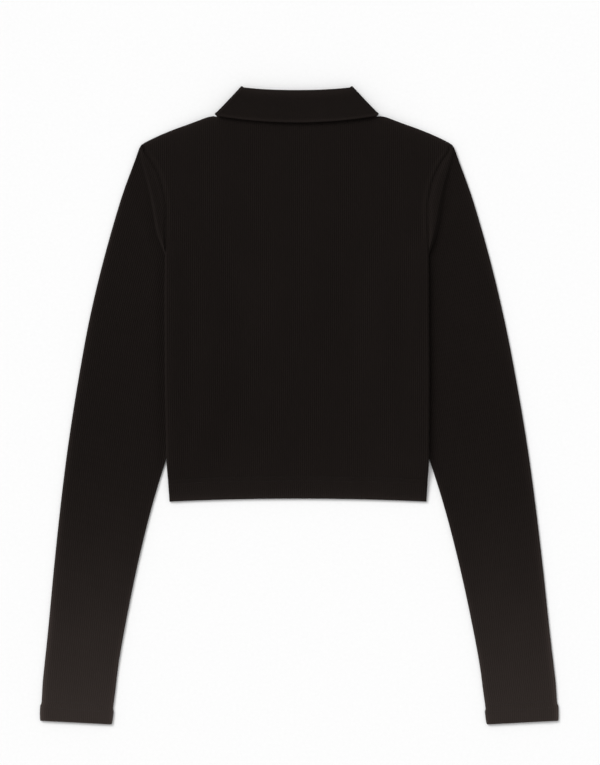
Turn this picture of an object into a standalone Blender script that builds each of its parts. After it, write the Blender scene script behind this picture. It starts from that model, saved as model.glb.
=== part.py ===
"""Long-sleeve rib-knit polo shirt, laid flat face down with its arms beside the body.

Sizes are in millimetres and become metres where a vertex is made. Seen from above, +X is
to the right and +Y runs from the hem to the collar. The shirt lies on the plane z = 0, and
x = 0, y = 0 is the middle of its outline. Tables give the +X half, measured from the
shirt's own middle line, which leans a little to -X towards the collar.
"""
import math
from collections import namedtuple
from itertools import takewhile

import bmesh
import bpy

MM = 0.001

# ---- cloth ----
WALL = 1.2                  # thickness of the knit without its ribs
RIB = 0.35                  # how far a rib stands out
GAP = 0.3                   # clearance at seams and between layers
RIB_PITCH = 2.25            # body ribs, crest to crest
SLEEVE_RIBS = 34            # ribs across a sleeve's upper side
EDGE = 1.2                  # width of the rounding along a folded edge
EDGE_DROP = 0.75            # how far that rounding falls

# ---- heights of the layers above the cloth they lie on ----
UPPER = WALL + GAP          # underside of the upper one of two panels
LIFT = UPPER + WALL + RIB + GAP     # body panels where a sleeve or the placket is under them
MIDDLE = LIFT + WALL + GAP / 2      # between front and back at the neck

# ---- middle line ----
LEAN = -2.7                 # x of the middle line at LEAN_TOP and above
LEAN_TOP = 100.0
LEAN_BOTTOM = -324.0        # the middle line is at x = 0 from here down

# ---- body ----
CHEST_HALF = 144.3          # half width at the narrowest place of the armholes
HEM_DIP = 3.3               # the hem's corners hang this much lower than its middle
TUCK_SLOPE = 22.0           # width over which a panel comes down beside a tucked sleeve
LEAF_REACH = 92.0           # the collar's front leaves lie within this half width
NECK_SLOPE = 33.0
PLACKET_SLOPE = 31.0

BodyRow = namedtuple("BodyRow", "y half side_lift tuck neck_lift placket_lift")
BODY_ROWS = (               # lifts are shares of LIFT; tuck is where the side lift ends
    BodyRow(-102.9, 141.7, 0.0, 120.0, 0.0, 0.0),       # hem
    BodyRow(-101.7, 141.8, 0.02, 120.0, 0.0, 0.0),      # above the hem's rounding
    BodyRow(-82.5, 143.1, 0.5, 120.0, 0.0, 0.0),        # hem stitching
    BodyRow(-64.9, 144.5, 1.0, 120.0, 0.0, 0.0),        # the sleeves come out here
    BodyRow(27.5, 145.6, 1.0, 100.0, 0.0, 0.0),         # waist
    BodyRow(115.5, 145.5, 1.0, 100.0, 0.0, 1.0),        # lower end of the placket
    BodyRow(170.5, 145.2, 1.0, 125.0, 0.5, 1.0),        # underarm
    BodyRow(220.0, 144.3, 0.88, 125.0, 1.0, 1.0),       # narrowest place of the armholes
)
PLACKET_ROW = 5             # row of the placket's lower end
UNDERARM_ROW = 6
ARMHOLE_ROW = 7
UPPER_ROW_SHARE = 0.5       # one row half way from the armhole row to the top edge

Knot = namedtuple("Knot", "x y lift")
ARMHOLE = (                 # from the shoulder tip to the underarm
    Knot(169.0, 284.6, 0.0),
    Knot(166.5, 277.8, 0.10),
    Knot(160.0, 268.4, 0.27),
    Knot(152.0, 253.0, 0.50),
    Knot(147.0, 236.5, 0.70),
    Knot(144.3, 220.0, 0.88),
    Knot(144.75, 195.25, 0.94),
    Knot(145.2, 170.5, 1.0),
)
TIP_KNOTS = 5               # the knots above the narrowest place

SHOULDER = (                # x, y of the shoulder line from the neck to the tip
    (77.1, 328.8), (82.0, 323.2), (87.5, 317.2), (92.0, 317.8), (98.4, 316.6), (108.0, 313.2),
    (120.0, 308.8), (132.0, 304.6), (144.3, 299.8), (147.0, 298.7), (152.0, 296.5),
    (160.0, 292.8), (166.5, 289.4), (169.0, 288.0),
)
FRONT_NECK = (              # x, y of the front's neck edge from the middle to the shoulder
    (0.0, 256.5), (14.0, 256.5), (33.0, 259.0), (52.0, 269.0), (66.0, 286.0), (74.0, 305.0),
    (77.1, 328.8),
)
BACK_NECK_Y = 322.0         # back neck edge in the middle
BACK_NECK_RISE = 6.8        # and how much higher it is at the shoulder
NECK_HALF = 77.1

# ---- sleeves ----
SLEEVE_FOLD = (             # x, y of the fold outside the armhole seam, knot by knot
    (171.0, 286.4), (170.2, 277.0), (167.5, 265.5), (162.5, 248.5), (158.6, 232.0),
    (155.5, 216.0), (151.0, 190.5), (146.4, 169.8),
)
FOLD_FOOT = (3.9, -0.8)     # from the fold to the foot of its slope
FOOT_OUTER = (173.6, 282.3)
FOOT_INNER = (146.3, 164.0)
SleeveRing = namedtuple("SleeveRing", "outer_x outer_y inner_x inner_y")
SLEEVE_RINGS = (
    SleeveRing(178.5, 269.5, 146.2, 157.0),     # just below the fold
    SleeveRing(194.0, 225.5, 133.0, 120.0),     # the inner edge is under the body from here
    SleeveRing(212.9, 159.5, 107.9, 84.7),      # upper arm
    SleeveRing(228.6, 93.5, 113.6, 42.9),
    SleeveRing(241.1, 27.5, 125.9, -3.3),       # elbow
    SleeveRing(251.9, -38.5, 141.6, -49.5),
    SleeveRing(260.1, -99.0, 161.4, -113.3),    # clear of the body
    SleeveRing(268.3, -170.5, 178.9, -183.7),
    SleeveRing(275.5, -242.0, 193.3, -254.1),   # forearm
    SleeveRing(280.7, -289.3, 200.4, -297.0),
    SleeveRing(285.1, -328.7, 204.1, -335.1),   # cuff stitching
    SleeveRing(285.5, -345.6, 206.0, -349.8),   # above the cuff's rounding
    SleeveRing(284.4, -347.2, 207.4, -351.3),   # cuff edge
)
# A flattened tube's edge: distance in from the edge, heights of its upper and lower side.
TubeEdge = namedtuple("TubeEdge", "inset upper lower")
TUBE_HEIGHT = UPPER + WALL
TUBE_EDGE = (
    TubeEdge(0.45, TUBE_HEIGHT - 0.35, 0.35),
    TubeEdge(1.3, TUBE_HEIGHT, 0.0),
)
RIB_INSET = 1.8             # the ribs start this far in from a sleeve's edges

# ---- collar ----
NECK_COLUMNS = (0.0, 14.0, 33.0, 52.0, 66.0, 74.0)
STAND_RADIUS = GAP / 2 + WALL / 2                   # stand's mid surface from MIDDLE
FALL_RADIUS = STAND_RADIUS + WALL + RIB + GAP       # fall's mid surface from MIDDLE
SIDE_NORMAL = (0.738, 0.676)                        # out of the fold at the collar's side
SIDE_ANGLES = (-60.0, -30.0, 0.0, 30.0, 60.0)
ROLL_ANGLES = (-54.0, -18.0, 18.0, 54.0)
SIDE_SEAM = (76.9, 329.1)
SIDE_ROLL = (59.3, 348.3)
SIDE_LEAF = (87.5, 317.5)
BACK_ROLL_Y = 345.0         # roll line in the middle of the back
BACK_LEAF_Y = 310.3         # the fall's lower edge there
FrontCollar = namedtuple("FrontCollar", "roll_x roll_y leaf_x leaf_y")
FRONT_COLLAR = (            # from the middle of the front to the side, by neck column
    FrontCollar(1.5, 268.5, 50.0, 219.0),
    FrontCollar(10.0, 270.0, 63.0, 231.0),
    FrontCollar(24.0, 276.5, 74.0, 247.0),
    FrontCollar(39.0, 290.0, 81.0, 264.0),
    FrontCollar(50.0, 308.0, 86.0, 281.0),
    FrontCollar(56.5, 330.0, 88.3, 300.0),
)
FRONT_MIDDLE = 1.5          # the collar's front ends stand this far from the middle

# ---- placket and buttons ----
PLACKET_HALF = 14.0
PLACKET_OUTER_HALF = 13.0
PLACKET_TOP = 254.5
BUTTON_THICKNESS = LIFT - 2 * GAP - WALL
BUTTON_RADIUS = 5.5
BUTTON_RIM = 1.4
BUTTON_DISH = 0.4
BUTTON_YS = (241.0, 190.0, 139.0)
BUTTON_SEGMENTS = 20

COLUMNS = (0.0, 14.0, 33.0, 52.0, 66.0, 74.0, 77.1, 82.0, 87.5, 92.0, 98.4, 108.0, 120.0,
           132.0, CHEST_HALF)

# ---- colours ----
KNIT_BLACK = (0.0105, 0.0080, 0.0072, 1.0)
COLLAR_BLACK = (0.0120, 0.0092, 0.0080, 1.0)
BUTTON_BLACK = (0.0150, 0.0130, 0.0120, 1.0)


# ------------------------------------------------------------------ small helpers
def ramp(value, start, end):
    """Goes smoothly from 0 at start to 1 at end."""
    share = min(max((value - start) / (end - start), 0.0), 1.0)
    return share * share * (3.0 - 2.0 * share)


def mix(a, b, share):
    """The point that lies this share of the way from a to b."""
    return tuple(p + (q - p) * share for p, q in zip(a, b))


def read_line(points, x):
    """y at x on a line of (x, y) points in order of x."""
    for (x0, y0), (x1, y1) in zip(points, points[1:]):
        if x <= x1:
            return y0 + (y1 - y0) * (x - x0) / (x1 - x0)
    return points[-1][1]


def offset_line(points, distance):
    """Moves each (x, y) point to the left of the line's direction."""
    moved = []
    for index, (x, y) in enumerate(points):
        x0, y0 = points[max(index - 1, 0)]
        x1, y1 = points[min(index + 1, len(points) - 1)]
        length = math.hypot(x1 - x0, y1 - y0)
        moved.append((x - (y1 - y0) / length * distance, y + (x1 - x0) / length * distance))
    return moved


def middle_x(y):
    """x of the shirt's own middle line."""
    return LEAN * min(max((y - LEAN_BOTTOM) / (LEAN_TOP - LEAN_BOTTOM), 0.0), 1.0)


def place(x, y, z):
    """A vertex position in metres, with the middle line's lean."""
    return ((x + middle_x(y)) * MM, y * MM, z * MM)


def add_rows(bm, columns):
    """Vertices for columns of (x, y, z) points, where None leaves a place empty."""
    return [[bm.verts.new(place(*point)) if point else None for point in column]
            for column in columns]


def add_faces(bm, columns, skipped=()):
    """Quads between neighbouring columns, but for the skipped (column, row) cells."""
    for c, (left, right) in enumerate(zip(columns, columns[1:])):
        for r in range(len(left) - 1):
            corners = (left[r], right[r], right[r + 1], left[r + 1])
            if all(corners) and (c, r) not in skipped:
                bm.faces.new(corners)


def shares_along(verts):
    """Pairs each vertex of a line with its share of the line's length."""
    lengths = [0.0]
    for a, b in zip(verts, verts[1:]):
        lengths.append(lengths[-1] + (b.co - a.co).length)
    return [(length / lengths[-1], vert) for length, vert in zip(lengths, verts)]


def bridge(bm, line_a, line_b):
    """Joins two lines of (share, vertex) that run side by side with a strip of triangles."""
    a = b = 0
    while a < len(line_a) - 1 or b < len(line_b) - 1:
        next_a = line_a[a + 1][0] if a < len(line_a) - 1 else math.inf
        next_b = line_b[b + 1][0] if b < len(line_b) - 1 else math.inf
        if next_a <= next_b:
            bm.faces.new((line_a[a][1], line_a[a + 1][1], line_b[b][1]))
            a += 1
        else:
            bm.faces.new((line_a[a][1], line_b[b + 1][1], line_b[b][1]))
            b += 1


def close_between(bm, outside, inside, skipped=()):
    """Two skins of one layout, made one closed wall along all their free edges."""
    add_faces(bm, outside, skipped)
    partner = {}
    for outer_column, inner_column in zip(outside, inside):
        partner.update(pair for pair in zip(outer_column, inner_column) if pair[0])
    free_edges = [edge for edge in bm.edges if edge.is_boundary]
    add_faces(bm, inside, skipped)
    for edge in free_edges:
        a, b = edge.verts
        bm.faces.new((a, b, partner[b], partner[a]))


# ------------------------------------------------------------------ objects
def knit_material(name, colour, roughness):
    material = bpy.data.materials.new(name)
    material.use_nodes = True
    shader = material.node_tree.nodes["Principled BSDF"]
    shader.inputs["Base Color"].default_value = colour
    shader.inputs["Roughness"].default_value = roughness
    shader.inputs["Metallic"].default_value = 0.0
    return material


def finish(bm, name, colour, collection, roughness=0.9):
    """Turns the finished cage into a named object of its own material."""
    bmesh.ops.recalc_face_normals(bm, faces=bm.faces[:])
    mesh = bpy.data.meshes.new(name)
    bm.to_mesh(mesh)
    bm.free()
    mesh.shade_smooth()
    mesh.set_sharp_from_angle(angle=math.radians(50.0))
    mesh.materials.append(knit_material(name + "_material", colour, roughness))
    part = bpy.data.objects.new(name, mesh)
    collection.objects.link(part)
    return part


# ------------------------------------------------------------------ body panels
def panel_lift(x, row):
    """Height of the front's underside at half width x on a row of the body."""
    side = row.side_lift * ramp(x, row.tuck - TUCK_SLOPE, row.tuck)
    neck = row.neck_lift * (1.0 - ramp(x, LEAF_REACH, LEAF_REACH + NECK_SLOPE))
    placket = row.placket_lift * (1.0 - ramp(x, PLACKET_HALF, PLACKET_HALF + PLACKET_SLOPE))
    return LIFT * (1.0 - (1.0 - side) * (1.0 - neck) * (1.0 - placket))


def shoulder_lift(x):
    """Height of the front's underside along the top edge."""
    return LIFT * (1.0 - ramp(x, LEAF_REACH, SHOULDER[-1][0]))


def back_neck_y(x):
    return BACK_NECK_Y + BACK_NECK_RISE * (x / NECK_HALF) ** 2


def back_top_y(x):
    return back_neck_y(x) if x < NECK_HALF else read_line(SHOULDER, x)


def front_top_y(x):
    return read_line(FRONT_NECK, x) if x < NECK_HALF else read_line(SHOULDER, x)


def upper_rows(low, x, top_y):
    """Points from the armhole row up to the top edge; the last two are the rounding."""
    top = (x, top_y, shoulder_lift(x))
    return [mix(low, top, UPPER_ROW_SHARE), (x, top_y - EDGE, top[2]), top]


def half_net(top_edge):
    """Columns of (x, y, lift) from the middle to the shoulder tip, each from the hem up."""
    columns = []
    for x in COLUMNS:
        column = []
        for index, row in enumerate(BODY_ROWS):
            half = row.half - GAP / 2
            y = row.y - (HEM_DIP * (x / CHEST_HALF) ** 2 if index < 2 else 0.0)
            column.append((x * half / CHEST_HALF, y, panel_lift(x, row)))
        columns.append(column + upper_rows(column[-1], column[-1][0], top_edge(x)))
    edge = offset_line([knot[:2] for knot in ARMHOLE], -GAP / 2)
    for (x, y), knot in reversed(list(zip(edge, ARMHOLE))[:TIP_KNOTS]):
        low = (x, y, LIFT * knot.lift)
        columns.append([None] * ARMHOLE_ROW + [low] + upper_rows(low, knot.x, top_edge(knot.x)))
    return columns


def mirrored(columns):
    """The same columns on the other side, then these."""
    other = [[(-p[0],) + tuple(p[1:]) if p else None for p in column] for column in columns]
    return other[:0:-1] + columns


def raised(columns, height):
    """The net's points at a height above the cloth's lift."""
    return [[(p[0], p[1], p[2] + height) if p else None for p in column] for column in columns]


def column_between(left, right, share):
    return [mix(p, q, share) if p and q else None for p, q in zip(left, right)]


def body_column(net, keys, key):
    """The column of the net at a position between its keys."""
    for index in range(len(keys) - 1):
        if key <= keys[index + 1]:
            share = (key - keys[index]) / (keys[index + 1] - keys[index])
            return column_between(net[index], net[index + 1], share)
    return net[-1]


def rib_keys():
    """Positions across the back, and whether a rib's crest runs there."""
    half_pitch = RIB_PITCH / 2
    start = CHEST_HALF - EDGE
    tip = ARMHOLE[0].x
    half_count = int(start / half_pitch)
    keys = [(start * k / half_count, k % 2 == 1) for k in range(-half_count, half_count + 1)]
    tip_count = 2 * int((tip - CHEST_HALF) / RIB_PITCH)
    tip_keys = [(CHEST_HALF + (tip - CHEST_HALF) * k / tip_count, k % 2 == 1)
                for k in range(1, tip_count + 1)]
    side = [(CHEST_HALF - EDGE / 3, False), (CHEST_HALF, False)] + tip_keys
    return [(-key, crest) for key, crest in reversed(side)] + keys + side


def back_height(key, row, crest, last_row):
    """Height of the back's outer side over its inner side, with ribs and rounded edges."""
    if row in (0, last_row):
        return WALL - EDGE_DROP
    if row <= UNDERARM_ROW and abs(key) >= CHEST_HALF - EDGE / 2:
        return WALL - (EDGE_DROP if abs(key) >= CHEST_HALF else EDGE_DROP / 3)
    return WALL + (RIB if crest else 0.0)


def build_back(collection):
    """Ribbed outer side over a plain inner side, joined round the edge."""
    net = mirrored(half_net(back_top_y))
    plain = list(COLUMNS) + [knot.x for knot in reversed(ARMHOLE[:TIP_KNOTS])]
    keys = [-x for x in plain[:0:-1]] + plain
    last_row = len(net[0]) - 1
    outer_points = []
    for key, crest in rib_keys():
        column = body_column(net, keys, key)
        outer_points.append([
            (p[0], p[1], p[2] + UPPER + back_height(key, row, crest, last_row)) if p else None
            for row, p in enumerate(column)])
    bm = bmesh.new()
    outer = add_rows(bm, outer_points)
    inner = add_rows(bm, raised(net, UPPER))
    add_faces(bm, outer)
    add_faces(bm, inner)
    for line in ("hem", "top", "left", "right"):
        bridge(bm, panel_edge(outer, line), panel_edge(inner, line))
    finish(bm, "back", KNIT_BLACK, collection)


def panel_edge(columns, line):
    """One edge of a body panel, as (share of its length, vertex)."""
    if line == "hem":
        return shares_along([column[0] for column in columns if column[0]])
    if line == "top":
        return shares_along([column[-1] for column in columns])
    ordered = columns if line == "left" else columns[::-1]
    wedge = list(takewhile(lambda column: not column[0], ordered))
    tip = [vert for vert in wedge[0][::-1] if vert]
    armhole = [column[ARMHOLE_ROW] for column in wedge[1:]]
    side = ordered[len(wedge)]
    return shares_along(tip + armhole + side[ARMHOLE_ROW::-1])


def build_front(collection):
    """Plain panel of the same cut, with a slot for the placket from its neck edge."""
    net = mirrored(half_net(front_top_y))
    middle = len(net) // 2
    rows = range(PLACKET_ROW, len(net[0]))
    slot = {(column, row) for column in (middle - 1, middle) for row in rows}
    net[middle] = [point if row <= PLACKET_ROW else None
                   for row, point in enumerate(net[middle])]
    bm = bmesh.new()
    underside = add_rows(bm, raised(net, 0.0))
    inside = add_rows(bm, raised(net, WALL))
    close_between(bm, underside, inside, slot)
    finish(bm, "front", KNIT_BLACK, collection)


# ------------------------------------------------------------------ sleeves
def knot_shares():
    """Share of the armhole seam's length at each of its knots."""
    lengths = [0.0]
    for a, b in zip(ARMHOLE, ARMHOLE[1:]):
        lengths.append(lengths[-1] + math.hypot(b.x - a.x, b.y - a.y))
    return [length / lengths[-1] for length in lengths]


def sleeve_nets(shares):
    """For each ring, its (x, y, lift) at the knot shares from the outer to the inner edge."""
    seam = offset_line([knot[:2] for knot in ARMHOLE], GAP / 2)
    seam[0] = (170.3, 286.9)
    lifts = [LIFT * knot.lift for knot in ARMHOLE]
    rings = [[(x, y, lift) for (x, y), lift in zip(seam, lifts)]]
    rings.append([(x, y, lift) for (x, y), lift in zip(SLEEVE_FOLD, lifts)])
    foot = [(x + FOLD_FOOT[0], y + FOLD_FOOT[1], 0.0) for x, y in SLEEVE_FOLD]
    foot[0] = FOOT_OUTER + (0.0,)
    foot[-1] = FOOT_INNER + (0.0,)
    rings.append(foot)
    for ring in SLEEVE_RINGS:
        outer = (ring.outer_x, ring.outer_y, 0.0)
        inner = (ring.inner_x, ring.inner_y, 0.0)
        rings.append([mix(outer, inner, share) for share in shares])
    return rings


def ring_point(ring, shares, share):
    """The point at a share of the way along a ring."""
    for index in range(len(shares) - 1):
        if share <= shares[index + 1]:
            local = (share - shares[index]) / (shares[index + 1] - shares[index])
            return mix(ring[index], ring[index + 1], local)
    return ring[-1]


def outer_ring(ring, shares, is_end):
    """The tube's outer side: (share, point) along its upper, then its lower half."""
    width = math.hypot(ring[-1][0] - ring[0][0], ring[-1][1] - ring[0][1])
    drop = EDGE_DROP if is_end else 0.0
    upper = [(0.0, TUBE_HEIGHT / 2)]
    upper += [(edge.inset / width, edge.upper - drop) for edge in TUBE_EDGE]
    first = RIB_INSET / width
    steps = 2 * SLEEVE_RIBS
    for k in range(steps + 1):
        crest = RIB if k % 2 == 1 and not is_end else 0.0
        upper.append((first + (1.0 - 2.0 * first) * k / steps, TUBE_HEIGHT + crest - drop))
    upper += [(1.0 - edge.inset / width, edge.upper - drop) for edge in reversed(TUBE_EDGE)]
    upper.append((1.0, TUBE_HEIGHT / 2))
    low_end = EDGE_DROP / 3 if is_end else 0.0
    lower = [(edge.inset / width, max(edge.lower, low_end)) for edge in TUBE_EDGE]
    lower += [(share, low_end) for share in shares[1:-1]]
    lower += [(1.0 - edge.inset / width, max(edge.lower, low_end))
              for edge in reversed(TUBE_EDGE)]
    halves = []
    for half in (upper, lower):
        points = [(share, ring_point(ring, shares, share), height) for share, height in half]
        halves.append([(share, (p[0], p[1], p[2] + height)) for share, p, height in points])
    return halves


def inner_ring(ring, shares):
    """The tube's inner side, plain: (share, point) along its upper, then its lower half."""
    width = math.hypot(ring[-1][0] - ring[0][0], ring[-1][1] - ring[0][1])
    inset = TUBE_EDGE[-1].inset / width
    upper = [(inset, WALL + GAP / 2)] + [(share, UPPER) for share in shares[1:-1]]
    upper.append((1.0 - inset, WALL + GAP / 2))
    lower = [(share, WALL) for share in shares[1:-1]]
    halves = []
    for half in (upper, lower):
        points = [(share, ring_point(ring, shares, share), height) for share, height in half]
        halves.append([(share, (p[0], p[1], p[2] + height)) for share, p, height in points])
    return halves


def add_tube_skin(bm, rings, side):
    """Vertices of each ring's two halves, and the quads between rings."""
    vert_rings = []
    for halves in rings:
        vert_rings.append([[(share, bm.verts.new(place(side * p[0], p[1], p[2])))
                            for share, p in half] for half in halves])
    loops = [[vert for _, vert in upper] + [vert for _, vert in reversed(lower)]
             for upper, lower in vert_rings]
    for loop, after in zip(loops, loops[1:]):
        for k in range(len(loop)):
            m = (k + 1) % len(loop)
            bm.faces.new((loop[k], loop[m], after[m], after[k]))
    return vert_rings


def build_sleeve(name, side, collection):
    """A flattened tube from the armhole seam to the cuff, ribbed on its upper side."""
    shares = knot_shares()
    nets = sleeve_nets(shares)
    last = len(nets) - 1
    bm = bmesh.new()
    outer = add_tube_skin(
        bm, [outer_ring(ring, shares, index in (0, last)) for index, ring in enumerate(nets)],
        side)
    inner = add_tube_skin(bm, [inner_ring(ring, shares) for ring in nets], side)
    for index in (0, last):
        outer_upper, outer_lower = outer[index]
        inner_upper, inner_lower = inner[index]
        bridge(bm, outer_upper, inner_upper)
        bridge(bm, [outer_upper[0]] + outer_lower + [outer_upper[-1]],
               [inner_upper[0]] + inner_lower + [inner_upper[-1]])
    finish(bm, name, KNIT_BLACK, collection)


# ------------------------------------------------------------------ collar
def collar_stations():
    """(seam, roll, leaf, angle) of each section from the middle of the back to the front."""
    stations = []
    for x in NECK_COLUMNS:
        t = x / NECK_COLUMNS[-1] * 0.96
        seam = (x, back_neck_y(x) + GAP)
        roll = (SIDE_ROLL[0] * t, BACK_ROLL_Y + (SIDE_ROLL[1] - BACK_ROLL_Y) * t * t)
        leaf = (SIDE_LEAF[0] * t, BACK_LEAF_Y + (SIDE_LEAF[1] - BACK_LEAF_Y) * t * t)
        stations.append((seam, roll, leaf, 90.0))
    for angle in (90.0,) + tuple(reversed(SIDE_ANGLES)) + (-90.0,):
        stations.append((SIDE_SEAM, SIDE_ROLL, SIDE_LEAF, angle))
    neck = offset_line(FRONT_NECK, GAP)
    neck[0] = (FRONT_MIDDLE, neck[0][1])
    for seam, row in reversed(list(zip(neck[:-1], FRONT_COLLAR))):
        stations.append((seam, (row.roll_x, row.roll_y), (row.leaf_x, row.leaf_y), -90.0))
    return stations


def collar_profile(station, offset):
    """One section of the collar's skin: stand, roll and fall, from the seam to the leaf edge."""
    seam, roll, leaf, angle = station
    reach = math.hypot(roll[0] - leaf[0], roll[1] - leaf[1])
    bulge_way = ((roll[0] - leaf[0]) / reach, (roll[1] - leaf[1]) / reach)
    out = math.cos(math.radians(angle))
    up = math.sin(math.radians(angle))
    centre = (STAND_RADIUS + FALL_RADIUS) / 2
    bend = (FALL_RADIUS - STAND_RADIUS) / 2 + offset
    section = [(mix(seam, roll, share), 0.0, STAND_RADIUS - offset) for share in (0.0, 0.5, 1.0)]
    for turn in ROLL_ANGLES:
        section.append((roll, bend * math.cos(math.radians(turn)),
                        centre + bend * math.sin(math.radians(turn))))
    section += [(mix(roll, leaf, share), 0.0, FALL_RADIUS + offset)
                for share in (0.0, 0.33, 0.67, 1.0)]
    return [(base[0] + bulge_way[0] * bulge + SIDE_NORMAL[0] * out * radius,
             base[1] + bulge_way[1] * bulge + SIDE_NORMAL[1] * out * radius,
             MIDDLE + up * radius) for base, bulge, radius in section]


def build_collar(collection):
    """Stand, roll and fall in one sheet that goes round the neck to both front points."""
    stations = collar_stations()
    bm = bmesh.new()
    skins = []
    for offset in (WALL / 2, -WALL / 2):
        half = [collar_profile(station, offset) for station in stations]
        skins.append(add_rows(bm, mirrored(half)))
    close_between(bm, skins[0], skins[1])
    finish(bm, "collar", COLLAR_BLACK, collection)


# ------------------------------------------------------------------ placket and buttons
def build_band(name, half, bottom, top, underside, collection):
    """A flat strip of knit with slightly rounded edges."""
    bm = bmesh.new()
    bmesh.ops.create_cube(bm, size=1.0)
    bmesh.ops.scale(bm, vec=(2 * half * MM, (top - bottom) * MM, WALL * MM), verts=bm.verts)
    centre = place(0.0, (bottom + top) / 2, underside + WALL / 2)
    bmesh.ops.translate(bm, vec=centre, verts=bm.verts)
    bmesh.ops.bevel(bm, geom=bm.edges[:], offset=GAP * MM, segments=1, affect="EDGES")
    finish(bm, name, KNIT_BLACK, collection)


def build_button(name, y, collection):
    """A turned button with a rim round its dished outer side, which faces down."""
    profile = (
        (0.0, BUTTON_THICKNESS), (BUTTON_RADIUS - GAP, BUTTON_THICKNESS),
        (BUTTON_RADIUS, BUTTON_THICKNESS / 2), (BUTTON_RADIUS - BUTTON_DISH, 0.0),
        (BUTTON_RADIUS - BUTTON_RIM, 0.0), (BUTTON_RADIUS - BUTTON_RIM - BUTTON_DISH, BUTTON_DISH),
        (0.0, BUTTON_DISH),
    )
    mesh = bpy.data.meshes.new(name)
    mesh.from_pydata([(x * MM, 0.0, z * MM) for x, z in profile],
                     [(k, k + 1) for k in range(len(profile) - 1)], [])
    mesh.materials.append(knit_material(name + "_material", BUTTON_BLACK, 0.35))
    button = bpy.data.objects.new(name, mesh)
    button.location = place(0.0, y, 0.0)
    screw = button.modifiers.new("turn", "SCREW")
    screw.steps = BUTTON_SEGMENTS
    screw.render_steps = BUTTON_SEGMENTS
    screw.use_merge_vertices = True
    screw.merge_threshold = 0.00001
    screw.use_smooth_shade = False
    collection.objects.link(button)


def build_placket(collection):
    """Outer band on the front, inner band in the front's slot, and three buttons."""
    slot_bottom = BODY_ROWS[PLACKET_ROW].y + GAP
    build_band("placket_inner", PLACKET_HALF - GAP, slot_bottom, FRONT_NECK[0][1],
               LIFT, collection)
    build_band("placket_outer", PLACKET_OUTER_HALF, slot_bottom - 2.0, PLACKET_TOP,
               LIFT - GAP - WALL, collection)
    for number, y in enumerate(BUTTON_YS, start=1):
        build_button("button_%d" % number, y, collection)


def main():
    for old in list(bpy.data.objects):
        bpy.data.objects.remove(old, do_unlink=True)
    collection = bpy.data.collections.new("long_sleeve_polo_shirt")
    bpy.context.scene.collection.children.link(collection)
    build_back(collection)
    build_front(collection)
    build_sleeve("sleeve_left", -1, collection)
    build_sleeve("sleeve_right", 1, collection)
    build_collar(collection)
    build_placket(collection)


main()
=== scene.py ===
"""Looks of the long-sleeve rib-knit polo shirt: cloth, seams, stitching, light and camera.

The shirt lies face down. Its tables are in millimetres, for the +X half, measured from the
shirt's own middle line, and place() turns them into metres. The body's wales run along Y.
"""
import math
from bisect import bisect
from collections import namedtuple

import bmesh
import bpy
from mathutils import Matrix, Vector


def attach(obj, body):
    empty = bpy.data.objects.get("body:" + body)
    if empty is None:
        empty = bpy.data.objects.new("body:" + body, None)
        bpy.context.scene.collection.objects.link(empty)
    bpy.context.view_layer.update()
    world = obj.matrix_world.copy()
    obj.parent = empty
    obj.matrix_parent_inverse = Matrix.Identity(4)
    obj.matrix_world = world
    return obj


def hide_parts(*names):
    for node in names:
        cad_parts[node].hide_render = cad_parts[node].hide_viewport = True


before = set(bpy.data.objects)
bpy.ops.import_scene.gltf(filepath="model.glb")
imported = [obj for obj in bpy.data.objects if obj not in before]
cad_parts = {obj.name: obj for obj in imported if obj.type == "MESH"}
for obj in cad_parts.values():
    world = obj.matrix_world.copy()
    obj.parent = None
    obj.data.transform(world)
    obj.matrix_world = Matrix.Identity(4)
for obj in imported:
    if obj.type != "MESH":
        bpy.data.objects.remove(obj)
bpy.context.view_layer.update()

MM = 0.001
FAR = 99.0  # a distance past which an edge changes nothing

# ---- cloth, as in the solids ----
WALL = 1.2  # the knit without its ribs
RIB = 0.35  # height of a rib
GAP = 0.3  # air between two layers
RIB_PITCH = 2.25
UPPER = WALL + GAP  # the underside of a second layer
TUBE_HEIGHT = UPPER + WALL  # a flattened sleeve
TUBE_RADIUS = TUBE_HEIGHT / 2
LIFT = TUBE_HEIGHT + RIB + GAP  # the underside of the body over a sleeve
MIDDLE = LIFT + WALL + GAP / 2  # between the front and the back there

# ---- the shirt's middle line leans this far to the left between these two heights ----
LEAN = -2.7
LEAN_TOP = 100.0
LEAN_BOTTOM = -324.0

# ---- body ----
CHEST_HALF = 144.3
HEM_Y = -102.9
HEM_DIP = 3.3  # the hem is this much lower at the side edges
NARROW_Y = 220.0  # height of the narrowest place between the armholes
UNDERARM_Y = 170.5
TUCK_SLOPE = 48.0  # the body rises on to the sleeves, the collar and the placket
NECK_SLOPE = 40.0  # over these lengths
PLACKET_SLOPE = 60.0
LEAF_REACH = 92.0  # the folded collar reaches this far out
HALF_WIDTH = ((-106.5, 141.6), (-82.5, 143.1), (-64.9, 144.5), (27.5, 145.6), (115.5, 145.5),
              (170.5, 145.2), (220.0, 144.3), (340.0, 144.3))
SIDE_LIFT = ((-106.5, 0.0), (-101.7, 0.02), (-82.5, 0.5), (-64.9, 1.0), (170.5, 1.0),
             (220.0, 0.88), (340.0, 0.88))
TUCK_END = ((-106.5, 120.0), (-64.9, 120.0), (27.5, 100.0), (115.5, 100.0), (170.5, 125.0),
            (340.0, 125.0))
NECK_LIFT = ((-106.5, 0.0), (115.5, 0.0), (170.5, 0.5), (220.0, 1.0), (340.0, 1.0))
PLACKET_LIFT = ((-106.5, 0.0), (27.5, 0.0), (115.5, 1.0), (340.0, 1.0))
Knot = namedtuple("Knot", "x y lift")
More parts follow.
